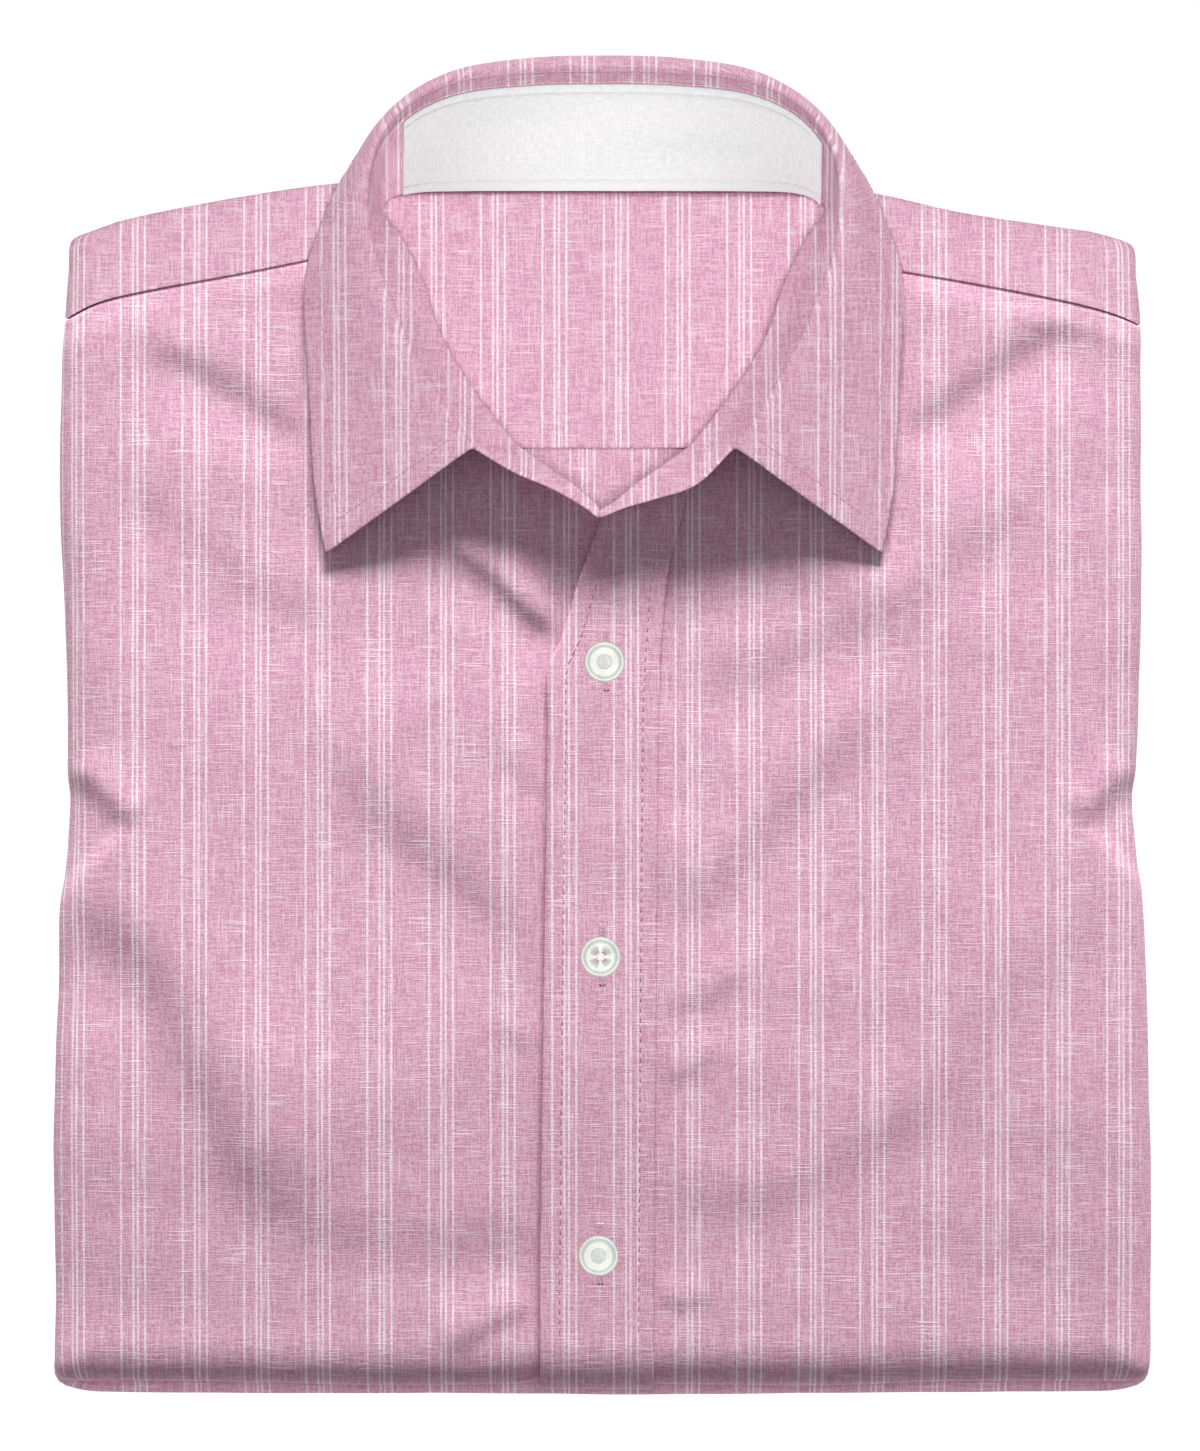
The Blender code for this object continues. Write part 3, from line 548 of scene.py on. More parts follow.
def slub_chambray(name, ground="#DBAFC2", thread="#C58EA6", pale="#ECD2DC", line="#F0DFE6"):
    """Slub chambray: cotton, pink warp with a white weft, woven with uneven yarns.

    The eye sees a soft mottled pink, short pale slubs both ways, and four fine white
    warp lines in each repeat. A thread is 0.25 mm, too fine to show, so the weave is
    drawn at 0.45 mm.
    """
    finish, tree, shader = blank_material(name, {
        "Roughness": 0.88, "Specular IOR Level": 0.25, "Sheen Weight": 0.12,
        "Sheen Roughness": 0.5})
    places = millimetre_places(tree)
    split = add(tree, "ShaderNodeSeparateXYZ", {0: places})
    across = split.outputs[0]
    warp = streaks(tree, places, 0.45, 7.0, 11.0)
    weft = streaks(tree, places, 7.0, 0.45, 23.0)
    fine_warp = streaks(tree, places, 0.4, 1.4, 5.0)
    fine_weft = streaks(tree, places, 1.4, 0.4, 37.0)
    mottle = streaks(tree, places, 9.0, 14.0, 3.0)
    threads = sum_of(tree, warp, weft, fine_warp, fine_weft)
    shade = ramp(tree, threads, 1.7, 2.3)
    colour = blend_colours(tree, shade, linear(thread), linear(ground))
    slub_weft = ramp(tree, streaks(tree, places, 14.0, 0.42, 51.0), 0.60, 0.74)
    slub_warp = ramp(tree, streaks(tree, places, 0.42, 18.0, 67.0), 0.61, 0.75)
    patches = ramp(tree, mottle, 0.35, 0.65, 0.45, 1.0)
    slubs = times(tree, sum_of(tree, slub_weft, slub_warp), patches)
    colour = blend_colours(tree, times(tree, slubs, 0.75), colour, linear(pale))
    repeat = reckon(tree, "FLOORED_MODULO", reckon(tree, "ADD", across, 2.0), REPEAT)
    lines = []
    for offset in (2.0, 5.63, 7.01, 9.2):
        away = reckon(tree, "ABSOLUTE", reckon(tree, "SUBTRACT", repeat, offset))
        lines.append(ramp(tree, away, 0.2, 0.44, 1.0, 0.0))
    stripes = sum_of(tree, *lines)
    worn = ramp(tree, streaks(tree, places, 0.8, 0.9, 91.0), 0.3, 0.58, 0.5, 1.0)
    faded = ramp(tree, streaks(tree, places, 1.6, 9.0, 17.0), 0.3, 0.6, 0.62, 1.0)
    stripes = times(tree, times(tree, stripes, worn), faded)
    colour = blend_colours(tree, stripes, colour, linear(line))
    height = sum_of(tree, threads, slubs, times(tree, stripes, 0.6))
    weave(tree, shader, colour, height, 0.35, 0.00012)
    return finish


def white_poplin(name):
    """White cotton poplin, close plain weave: even, matt, with a trace of grey in the threads."""
    finish, tree, shader = blank_material(name, {
        "Roughness": 0.85, "Specular IOR Level": 0.25, "Sheen Weight": 0.08})
    places = millimetre_places(tree)
    warp = streaks(tree, places, 0.4, 3.0, 2.0)
    weft = streaks(tree, places, 3.0, 0.4, 9.0)
    threads = sum_of(tree, warp, weft)
    shade = ramp(tree, threads, 0.7, 1.3)
    colour = blend_colours(tree, shade, linear("#E0E0E0"), linear("#ECECEC"))
    weave(tree, shader, colour, threads, 0.3, 0.0001)
    return finish


def button_resin(name):
    """Cast polyester, turned and tumbled: off-white, faint pearly clouds, a soft gloss."""
    finish, tree, shader = blank_material(name, {
        "Roughness": 0.32, "IOR": 1.54, "Coat Weight": 0.2})
    share = ramp(tree, clouds(tree, 240.0, 3.0), 0.35, 0.7)
    colour = blend_colours(tree, share, linear("#BEC1BA"), linear("#CDCFC9"))
    tree.links.new(colour, shader.inputs["Base Color"])
    return finish


def sewing_thread(name, colour):
    """Spun polyester thread: two plies twisted, matt, a shade off the cloth it sews."""
    finish, tree, shader = blank_material(name, {"Roughness": 0.8})
    dark = tuple(value * 0.8 for value in linear(colour)[:3]) + (1.0,)
    mixed = blend_colours(tree, clouds(tree, 2600.0, 1.0), dark, linear(colour))
    tree.links.new(mixed, shader.inputs["Base Color"])
    return finish


def studio_floor(name):
    """Seamless white paper, which gives off light of its own so that it stays pale."""
    return blank_material(name, {
        "Base Color": linear("#F7F7F7"), "Roughness": 0.9, "Specular IOR Level": 0.1,
        "Emission Color": linear("#FFFFFF"), "Emission Strength": 0.8})[0]


chambray = slub_chambray("slub_chambray")
poplin = white_poplin("white_poplin")
resin = button_resin("button_resin")
pink_thread = sewing_thread("pink_thread", "#DCABC0")
chambray_thread = sewing_thread("chambray_thread", "#E6BFCF")
white_thread = sewing_thread("white_thread", "#EFEFEC")


# ---------------------------------------------------------------- fronts and placket

PITCH = 1.5              # size of one mesh cell
HEM_SLUMP = 2.6          # how much lower the cloth lies towards the fold of the hem
SEAM_SINK = 0.5         # how far a front's edge goes down under the yoke's
FRONT_INNER = {-1: -13.0, 1: -16.2}
FRONT_SHOULDER = 62.0


def front_top(out, side):
    """Upper edge of a front: its inner edge, then the neckline, then the yoke seam."""
    out = np.asarray(out, float)
    first_out, first_up = NECKLINE[0]
    if side < 0:
        inner = first_up + 0.3 * (out - first_out)
    else:
        inner = np.interp(out - 0.5, [row[1] for row in PLACKET], [row[0] for row in PLACKET])
    neck = neck_curve(np.minimum(out, NECKLINE[-1][0])) - 0.4
    outer = np.minimum(neck, yoke_seam(out, side) - GAP)
    return np.where(out < first_out, inner, outer)


def bare(out, up, side):
    """How free the cloth is to crease: held flat at its neck and yoke seams."""
    return ease(0.0, 12.0, front_top(out, side) - up)


def plain_level(out, up, side):
    """Height of a front's outer face before creases, with the overlap under the placket."""
    x = side * out
    height = top_height(x, up) - HEM_SLUMP * (1 - ease(-190.0, -92.0, up))
    if side < 0:
        height = height - (UNDERLAP - 0.3) * (1 - ease(*OVERLAP_EDGE, out))
    else:
        height = height + 0.2 * (1 - ease(15.0, 24.0, out))
    gap = front_top(np.maximum(out, 0.0), side) - up
    near_neck = (1 - ease(0.0, 9.0, gap)) * (1 - ease(58.0, 66.0, out)) * ease(-2.0, 6.0, out)
    lapped = SEAM_SINK * (1 - ease(0.0, 7.0, gap)) * ease(52.0, 60.0, out)
    return height - NECK_DIP * near_neck - lapped


def front_level(out, up, side):
    return plain_level(out, up, side) + relief(side * out, up) * bare(out, up, side)


def fine_steps(low, high, pitch):
    return np.linspace(low, high, max(int(round((high - low) / pitch)), 2) + 1)


def steps(at, part, turn, tuck):
    """Lines across or along a front: plain places, shares, turned angles and a tuck."""
    names = ("at", "part", "turn", "tuck")
    lists = [np.asarray(values, float) for values in (at, part, turn, tuck)]
    out = {name: np.concatenate([values if n == name else np.zeros(len(values))
                                 for n, values in zip(names, lists)]) for name in names}
    kinds = np.concatenate([np.full(len(values), k) for k, values in enumerate(lists)])
    out["kind"] = kinds
    return out


def front_points(side, across, down):
    """Points and cloth places of a front for the lines across and down it."""
    kind = across["kind"][None, :]
    part = np.where(kind == 1, across["part"][None, :], np.where(kind > 1, 1.0, 0.0))
    flat = float(half_width(0.0, side)) - SIDE_ROLL
    span = flat - FRONT_SHOULDER
    guess = np.where(kind == 0, across["at"][None, :], FRONT_SHOULDER + part * span)
    row_kind = down["kind"][:, None]
    row_part = np.where(row_kind == 1, down["part"][:, None], 1.0)
    side_turn = np.where(kind == 3, pi, np.where(kind == 2, across["turn"][None, :], 0.0))
    foot = hem_edge(guess) + HEM_ROLL
    head = front_top(guess + rolled_out(side_turn), side)
    up = head + (foot - head) * row_part
    edge = half_width(up, side) - SIDE_ROLL
    out = np.where(kind == 0, across["at"][None, :],
                   FRONT_SHOULDER + part * (edge - FRONT_SHOULDER))
    hem_turn = np.where(row_kind == 3, pi, np.where(row_kind == 2, down["turn"][:, None], 0.0))
    side_turn, hem_turn = np.broadcast_arrays(side_turn, hem_turn)
    turn, to_side, to_hem = corner(side_turn, hem_turn)
    start = plain_level(out + rolled_out(side_turn), up, side)
    under = UNDERLAP * (1 - ease(*OVERLAP_EDGE, out)) if side < 0 else 0.0
    away, height = rolled(start, TUCK + under, SIDE_ROLL, turn)
    away_hem, _ = rolled(start, TUCK + under, HEM_ROLL - under, turn)
    side_tuck = np.where(kind == 3, across["tuck"][None, :], 0.0)
    hem_tuck = np.where(row_kind == 3, down["tuck"][:, None], 0.0)
    x = side * (out + (away - side_tuck) * to_side)
    y = up - (away_hem - hem_tuck) * to_hem
    used_side = rolled_length(SIDE_ROLL, TOP - TUCK, side_turn) + side_tuck
    used_hem = rolled_length(HEM_ROLL, TOP - TUCK, hem_turn) + hem_tuck
    cloth = grid(side * (out + used_side) - FIRST_FRONT, up - used_hem)
    points = grid(x, y, height)
    lift = relief(points[..., 0], points[..., 1]) * bare(out + rolled_out(side_turn), up, side)
    lift = lift * (1 - ease(1.9, 2.7, turn))
    return points + grid_normals(points) * lift[..., None], cloth


TURNS = np.linspace(0.0, pi, 27)[1:]
TUCKS = (2.0, 4.0)


def front(side, name, node):
    across = steps(fine_steps(FRONT_INNER[side], FRONT_SHOULDER, PITCH),
                   fine_steps(0.0, 1.0, PITCH / 84.0)[1:], TURNS, TUCKS)
    if side < 0:
        across = {key: values[::-1] for key, values in across.items()}
    down = steps((), fine_steps(0.0, 1.0, PITCH / 300.0), TURNS, TUCKS)
    points, cloth = front_points(side, across, down)
    past_side, past_hem = [(lines["kind"] == 3) | ((lines["kind"] == 2) & (lines["turn"] > pi / 2))
                           for lines in (across, down)]
    keep = ~(past_hem[1:, None] & (past_side[None, :-1] | past_side[None, 1:]))
    return dress(shell(name, points, cloth, PLY, keep=keep), node, chambray)


PLACKET_SHORT = 1.8


def placket_lines(shares, rows):
    """Places on the placket strip: shares across it, rows from the neck to the tail fold."""
    top = np.full(len(shares), 64.0)
    for _ in range(30):
        x = placket_left(top) + shares * (placket_right(top) - placket_left(top))
        top = (top + front_top(np.maximum(x, NECKLINE[0][0]), 1)) / 2
    top = top - PLACKET_SHORT * ease(0.0, 0.4, shares)
    foot = float(hem_edge(0.0)) + HEM_ROLL
    up = top[None, :] + (foot - top[None, :]) * rows[:, None]
    left, right = placket_left(up), placket_right(up)
    return left + shares[None, :] * (right - left), up


def placket_level(x, up):
    return front_level(x, up, 1) + PLACKET_LIFT


def placket():
    shares = np.linspace(0.0, 1.0, 37)
    rows = fine_steps(0.0, 1.0, PITCH / 260.0)
    x, up = placket_lines(shares, rows)
    level = placket_level(x, up)
    free, sewn_edge = shares[None, :] * 33.0, (1 - shares)[None, :] * 33.0
    level = level - 0.3 * (1 - ease(0.0, 1.5, free)) - 0.2 * (1 - ease(0.0, 1.2, sewn_edge))
    points, cloth = grid(x, up, level), grid(x - FIRST_FRONT, up)
    turns = np.linspace(0.0, radians(104), 20)[1:]
    away, height = rolled(level[-1][None, :], TUCK, HEM_ROLL + PLACKET_LIFT, turns[:, None])
    fold = grid(x[-1][None, :], up[-1][None, :] - away, height)
    used = rolled_length(HEM_ROLL, TOP - TUCK, turns)[:, None]
    more = grid(x[-1][None, :] - FIRST_FRONT, up[-1][None, :] - used)
    points, cloth = np.concatenate((points, fold)), np.concatenate((cloth, more))
    return dress(shell("placket_strip", points, cloth, PLY), "placket", chambray)


# ---------------------------------------------------------------- yoke and back

YOKE_NECK = 70.5
YOKE_INNER = 62.0


def inside_level(x, y):
    """Inner face of yoke and back in the neck: nearly flat, with slack from the fold."""
    return INSIDE + waves(x, y, 21, 70.0, 0.35) * ease(0.0, 8.0, 159.0 - y)


def yoke():
    wide = np.linspace(0.0, 1.0, 50)[1:]
    middle = np.concatenate((fine_steps(-YOKE_NECK, -YOKE_INNER, 1.7)[:-1],
                             fine_steps(-YOKE_INNER, YOKE_INNER, 1.6),
                             fine_steps(YOKE_INNER, YOKE_NECK, 1.7)[1:]))
    folded = np.ones(len(TURNS) + len(TUCKS))
    beside = np.ones(len(folded) + len(wide))
    sides = np.concatenate((-beside, np.sign(middle + 1e-6), beside))
    share = np.concatenate((folded, wide[::-1], np.zeros(len(middle)), wide, folded))
    turned = np.concatenate(([pi, pi], TURNS[::-1], np.zeros(2 * len(wide) + len(middle)),
                             TURNS, [pi, pi]))
    tuck = np.concatenate((TUCKS[::-1], np.zeros(len(turned) - 4), TUCKS))
    at = np.concatenate((beside * 0, np.abs(middle), beside * 0))
    inner = np.linspace(1.0, 0.0, 50)
    roll = np.linspace(pi, 0.0, 25)[1:]
    front_rows = np.linspace(1.0, 0.0, 16)[1:]
    rows = len(inner) + len(roll) + len(front_rows)
    row_turn = np.concatenate((np.full(len(inner), pi), roll, np.zeros(len(front_rows))))[:, None]
    row_front = np.concatenate((np.ones(len(inner) + len(roll)), front_rows))[:, None]
    row_inside = np.concatenate((inner, np.zeros(len(roll) + len(front_rows))))[:, None]
    nominal = np.where(share > 0, YOKE_NECK + share * (145.0 - YOKE_NECK), at)[None, :]
    side = sides[None, :]
    reach = nominal + rolled_out(turned)[None, :]
    edge = shoulder_edge(reach, side) - SHOULDER_ROLL
    seam = yoke_seam(reach, side) + GAP
    up = seam + (edge - seam) * row_front
    rim = half_width(up, side) - SIDE_ROLL
    out = np.where(share[None, :] > 0, YOKE_NECK + share[None, :] * (rim - YOKE_NECK), at[None, :])
    start = top_height(side * out, up) + relief(side * out, up) * ease(0.0, 8.0, up - seam) * 0.6
    start, _ = np.broadcast_arrays(start, row_turn)
    side_turn, end_turn = np.broadcast_arrays(turned[None, :], row_turn)
    turn, to_side, to_end = corner(side_turn, end_turn)
    low = INSIDE - PLY
    foot = np.where(side_turn > 0, TUCK * to_side ** 2 + low * (1 - to_side ** 2), low)
    away, height = rolled(start, foot, np.where(side_turn > 0, SIDE_ROLL, SHOULDER_ROLL), turn)
    away_end, _ = rolled(start, foot, SHOULDER_ROLL, turn)
    x = side * (out + (away - tuck[None, :]) * to_side)
    y = up + away_end * to_end
    # The inside of the back, from the roll or the neck edge down to the back seam.
    outside = ease(YOKE_INNER, YOKE_NECK, nominal)
    under = edge + away_end * 0 + (SHOULDER_ROLL - ROLL_UNDER)
    head = NECK_EDGE + (under - NECK_EDGE) * outside
    foot_line = BACK_SEAM + 0.2
    inside_y = head + (foot_line - head) * row_inside
    in_inside = np.broadcast_to(row_inside > 0, x.shape) | (
        (np.broadcast_to(row_turn >= pi, x.shape)) & (np.broadcast_to(nominal < YOKE_NECK, x.shape)))
    y = np.where(in_inside, inside_y, y)
    x = np.where(in_inside, side * out, x)
    calm = ease(0.0, 6.0, under - y) * ease(0.0, 4.0, y - foot_line)
    height = np.where(in_inside, low + (inside_level(x, y) - low) * np.where(
        nominal < YOKE_NECK, 1.0, calm), height)
    used = rolled_length(SHOULDER_ROLL, 6.0, row_turn)
    cloth_y = np.where(in_inside, inside_y, up + used)
    first = np.where(in_inside, FIRST_INSIDE, FIRST_FRONT)
    cloth_x = side * (out + rolled_length(SIDE_ROLL, TOP - TUCK, side_turn)) - first
    points, cloth = grid(x, y, height), grid(cloth_x, cloth_y)
    row_index = np.arange(rows - 1)[:, None]
    inside_rows, half_roll = len(inner) - 1, len(inner) - 1 + len(roll) // 2
    in_side = (turned[:-1] > 0) | (turned[1:] > 0)
    in_neck = (np.abs(at[:-1]) < YOKE_NECK) & (share[:-1] == 0) & (share[1:] == 0)
    keep = np.where(in_side[None, :], row_index >= half_roll,
                    np.where(in_neck[None, :], row_index < inside_rows, True))
    return dress(shell("yoke_cloth", points, cloth, PLY, keep=keep), "yoke", chambray)


def back():
    x = fine_steps(-46.0, 46.0, 1.6)[None, :]
    y = np.linspace(BACK_SEAM + 0.5, 42.0, 34)[:, None]
    sunk = 1.3 * (1 - ease(0.0, 7.0, BACK_SEAM + 0.5 - y))
    points = grid(x, y, inside_level(x, y) - sunk)
    item = shell("back_cloth", points, grid(x - FIRST_COLLAR, y), PLY)
    return dress(item, "back", chambray)


# ---------------------------------------------------------------- hidden layers

def rim_samples():
    """Round the stack: start of its rolled edges and the way out, with round corners."""
    spots, ways = [], []

    def run(xs, ys, dx, dy):
        for x, y in zip(xs, ys):
            spots.append((x, y))
            ways.append((dx, dy))

    def turn_corner(x, y, first):
        for angle in np.linspace(first, first + pi / 2, 14):
            c, s = np.cos(angle), np.sin(angle)
            size = (abs(c) ** CORNER_POWER + abs(s) ** CORNER_POWER) ** (1 / CORNER_POWER)
            spots.append((x, y))
            ways.append((c / size, s / size))

    low_y = float(hem_edge(150.0)) + HEM_ROLL
    tops = {side: float(shoulder_edge(160.0, side)) - SHOULDER_ROLL for side in (-1, 1)}
    rim = {side: (lambda y, side=side: half_width(y, side) - SIDE_ROLL) for side in (-1, 1)}
    xs = np.linspace(-rim[-1](low_y), rim[1](low_y), 200)
    run(xs[1:-1], hem_edge(xs[1:-1]) + HEM_ROLL, 0, -1)
    turn_corner(float(rim[1](low_y)), low_y, -pi / 2)
    ys = np.linspace(low_y, tops[1], 220)
    run(rim[1](ys[1:-1]), ys[1:-1], 1, 0)
    turn_corner(float(rim[1](tops[1])), tops[1], 0.0)
    xs = np.linspace(float(rim[1](tops[1])), -float(rim[-1](tops[-1])), 200)
    ys_top = np.where(xs > 0, shoulder_edge(xs, 1), shoulder_edge(xs, -1)) - SHOULDER_ROLL
    run(xs[1:-1], ys_top[1:-1], 0, 1)
    turn_corner(-float(rim[-1](tops[-1])), tops[-1], pi / 2)
    ys = np.linspace(tops[-1], low_y, 220)
    run(-rim[-1](ys[1:-1]), ys[1:-1], -1, 0)
    turn_corner(-float(rim[-1](low_y)), low_y, pi)
    return np.array(spots), np.array(ways)


def folded_layers():
    """Sleeves, side flaps, back and tail folded away: rounded folds one over another."""
    spots, ways = rim_samples()
    dx, dy = ways[:, 0], ways[:, 1]
    parts = np.stack((dx ** 2, np.maximum(-dy, 0) ** 2, np.maximum(dy, 0) ** 2), axis=1)
    parts /= parts.sum(axis=1, keepdims=True)
    around = np.linspace(0, 2 * pi, len(spots), endpoint=False)

    def mix(side, hem, end):
        return parts @ np.array((side, hem, end), float)

    def uneven(seed, height):
        rng = np.random.default_rng(seed)
        return height * sum(np.sin(around * k + rng.uniform(0, 2 * pi)) for k in (3, 7, 12, 19)) / 4

    hem_out = HEM_FOLD - HEM_LAYER + HEM_ROLL
    rows = [(mix(-12, -12, -12), 14.9), (mix(-6, -6, -6), 14.9)]
    folds = (
        # outer edge, foot, top
        (mix(-1.0, -1.0, SHOULDER_ROLL - 1.0) + uneven(1, 0.3), UPPER_LOBE + 1.7, 14.9),
        (mix(SIDE_ROLL - 1.3, hem_out - 0.8, SHOULDER_ROLL - 1.6) + uneven(2, 0.5),
         LOWER_LOBE, UPPER_LOBE),
        (mix(SIDE_ROLL - 0.3, hem_out - 0.3, SHOULDER_ROLL - 0.6) + uneven(3, 0.4) - 0.3,
         0.0, LOWER_LOBE),
    )
    for outer, foot, top in folds:
        deep = 4.0
        for turn in np.linspace(pi / 2, -pi / 2, 11):
            away = outer - deep + deep * np.cos(turn) ** 0.8
            rows.append((away, (foot + top) / 2 + (top - foot) / 2 * 0.97 * np.sin(turn)))
    rows.append((mix(4.0, 4.0, 2.0), 0.0))
    points = []
    for away, height in rows:
        level = np.full(len(spots), max(height, 0.0))
        points.append(np.stack((spots[:, 0] + dx * away, spots[:, 1] + dy * away, level), axis=1))
    points = np.array(points)
    count, size = len(points), len(spots)
    verts = list(points.reshape(-1, 3))
    ring = np.arange(size)
    faces = []
    for k in range(count - 1):
        a, b = k * size + ring, (k + 1) * size + ring
        faces.append(np.stack((a, b, np.roll(b, -1), np.roll(a, -1)), axis=1))
    lengths = np.concatenate(([0.0], np.cumsum(np.linalg.norm(
        np.diff(points, axis=0), axis=2).mean(axis=1))))
    side_part = (np.abs(dx) > np.abs(dy))[None, :]
    run_x = np.where(side_part, lengths[:, None] + 3.0, points[0][None, :, 0] - FIRST_FRONT)
    run_y = np.where(side_part, points[0][None, :, 1], lengths[:, None])
    places = list(grid(run_x, run_y).reshape(-1, 2))
    for base, flip in ((0, True), ((count - 1) * size, False)):
        inner = points[0 if base == 0 else -1]
        centre = inner.mean(axis=0)
        for shrink in (0.9, 0.6, 0.3):
            start = len(verts)
            loop = centre + (inner - centre) * shrink
            verts += list(loop)
            places += list(np.stack((loop[:, 0] - FIRST_FRONT, loop[:, 1]), axis=1))
            a, b = base + ring, start + ring
            quad = np.stack((b, a, np.roll(a, -1), np.roll(b, -1)), axis=1)
            faces.append(quad if flip else quad[:, ::-1])
            base = start
        middle = len(verts)
        verts.append(centre)
        places.append(np.array((centre[0] - FIRST_FRONT, centre[1])))
        a = base + ring[::2]
        fan = np.stack((np.full(len(a), middle), a, base + (ring[::2] + 1) % size,
                        base + (ring[::2] + 2) % size), axis=1)
        faces.append(fan if flip else fan[:, ::-1])
    item = solid("folded_cloth", np.array(verts), np.concatenate(faces), np.array(places))
    return dress(item, "folded_layers", chambray)


# ---------------------------------------------------------------- collar

LEAF_END = len(COLLAR) - 1
COLLAR_SEAM = 0.05      # half the room between stand and leaf. Their round rims lap across it
_station = curve(range(-2, len(COLLAR)), [
    [-row[0], row[1], row[2], -row[3], row[4], row[5], -row[6], row[7], row[8], row[9], row[10]]
    for row in COLLAR[1:3][::-1]] + [list(row) for row in COLLAR])


def section(t):
    """The collar cut across: a curve from neck seam over the crest to edge, and lengths."""
    row = _station(abs(t))
    flip = np.array((-1.0 if t < 0 else 1.0, 1.0, 1.0))
    neck, crest, edge = row[0:3] * flip, row[3:6] * flip, row[6:9] * flip
    seam = neck + (crest - neck) * STAND_SHARE
    seam[2] -= 0.3
    across = np.array((edge[0] - neck[0], crest[1] - neck[1], 0.0))
    if abs(t) < 4.5:
        across = crest - neck
    across[2] = 0.0
    across /= np.linalg.norm(across)
    belly = crest + (edge - crest) * BELLY_SHARE + across * row[9]
    belly[2] += row[10]
    middle = (neck + seam) / 2
    middle[2] -= 0.8
    points = np.array((neck, middle, seam, crest, belly, edge))
    lengths = np.concatenate(([0.0], np.cumsum(np.linalg.norm(np.diff(points, axis=0), axis=1))))
    return curve(lengths, points), lengths[2], lengths[-1]


def stand_row(t, shares):
    line, seam, _ = section(t)
    return line(np.asarray(shares) * (seam - COLLAR_SEAM))


def leaf_row(t, shares):
    line, seam, end = section(t)
    begin = seam + COLLAR_SEAM
    return line(begin + np.asarray(shares) * (end - begin))


def tab_rows(side, shares, smooth):
    """The stand's tab beyond the leaf: its cuts from the leaf to the V."""
    rows = [stand_row(side * LEAF_END, (0.0, 1.0))]
    for row in TABS:
        edge = row[6:9] if side > 0 else row[3:6]
        rows.append(np.array(((side * row[0], row[1], row[2]), (side * edge[0], edge[1], edge[2]))))
    rows.append(np.array(TAB_TIPS[side]))
    path = curve(np.arange(len(rows)), rows)(np.linspace(0, len(rows) - 1, smooth)[1:])
    return [cut[0] + (cut[1] - cut[0]) * np.asarray(shares)[:, None] for cut in path]


def cloth_places(points, first):
    """Cloth places of collar pieces: lines stay upright. Length runs down the cloth at the
    back of the neck, and up the shirt in front, so that the threads stay square."""
    steps_down = np.linalg.norm(np.diff(points, axis=0), axis=2)
    down = np.concatenate((np.zeros((1, points.shape[1])), np.cumsum(steps_down, axis=0)))
    in_front = 1 - ease(150.0, 172.0, points[..., 1])
    along = (points[0, :, 1][None, :] + down) * (1 - in_front) + points[..., 1] * in_front
    return grid(points[..., 0] - first, along)


def stand():
    shares = np.linspace(0.0, 1.0, 22)
    cuts = [stand_row(t, shares) for t in np.linspace(-LEAF_END, LEAF_END, 241)]
    cuts = tab_rows(-1, shares, 30)[::-1] + cuts + tab_rows(1, shares, 30)
    points = np.stack(cuts, axis=1)[::-1]
    item = shell("collar_stand_cloth", points, cloth_places(points, FIRST_COLLAR), BAND, True)
    return dress(item, "collar_stand", chambray)


def facing_end(x, share):
    low, high = 0.0, 5.5 if x > 0 else -5.5
    for _ in range(30):
        middle = (low + high) / 2
        if abs(stand_row(middle, (share,))[0][0]) < abs(x):
            low = middle
        else:
            high = middle
    return (low + high) / 2


def on_band(row_of, t, share, lift):
    """A point lifted off the stand or the leaf, along the normal of the cloth."""
    step = 0.004
    here = row_of(t, (share - step, share, share + step))
    along = row_of(t + 0.01, (share,))[0] - row_of(t - 0.01, (share,))[0]
    normal = np.cross(along, here[2] - here[0])
    return here[1] + normal / np.linalg.norm(normal) * lift


FACING_STITCH = (0.1, 0.92)     # where its stitches run, from the neck seam to the crest


def facing_row(share, count, lift):
    """Points along the facing, which is slack between its stitched edges."""
    left, right = facing_end(FACING_LEFT, share), facing_end(FACING_RIGHT, share)
    row = np.array([on_band(stand_row, t, share, lift) for t in np.linspace(left, right, count)])
    slack = waves(row[:, 0] * 0.5, row[:, 1] * 1.5, 12, 34.0, 3.0) * np.sin(pi * share) ** 2
    pulled = sum(np.exp(-((share - seam) / 0.014) ** 2) for seam in FACING_STITCH)
    row[:, 2] += slack - 0.4 * pulled
    return row


def facing():
    lift = BAND / 2 + FACING_GAP + FACING / 2
    near = [seam + step for seam in FACING_STITCH for step in (-0.024, -0.012, 0.0, 0.012, 0.024)]
    shares = sorted([*np.linspace(0.15, 0.87, 20), 0.03, 0.05, 0.965, 0.985, *near], reverse=True)
    rows = [facing_row(share, 110, lift) for share in shares]
    rows.append(rows[-1] + (rows[-1] - rows[-2]) * 1.2)
    points = np.array(rows)
    item = shell("white_facing", points, cloth_places(points, 0.0), FACING, True)
    return dress(item, "collar_stand_facing", poplin)


def leaf():
    shares = np.concatenate((np.linspace(0.0, 0.4, 36), np.linspace(0.4, 1.0, 28)[1:]))
    cuts = [leaf_row(t, shares) for t in np.linspace(-LEAF_END, LEAF_END, 301)]
    points = np.stack(cuts, axis=1)[::-1]
    item = shell("collar_leaf_cloth", points, cloth_places(points, FIRST_COLLAR), BAND, True)
    return dress(item, "collar_leaf", chambray)


# ---------------------------------------------------------------- buttons

BUTTONS = (
    # name            across   up     thread shows as
    ("button_top", 0.15, 18.9, "dome"),
    ("button_middle", -1.05, -69.4, "holes"),
    ("button_bottom", -1.65, -159.0, "dome"),
)
BUTTON_RADIUS = 6.15
BUTTON_THICK = 2.6
BUTTON_DISH = 0.45


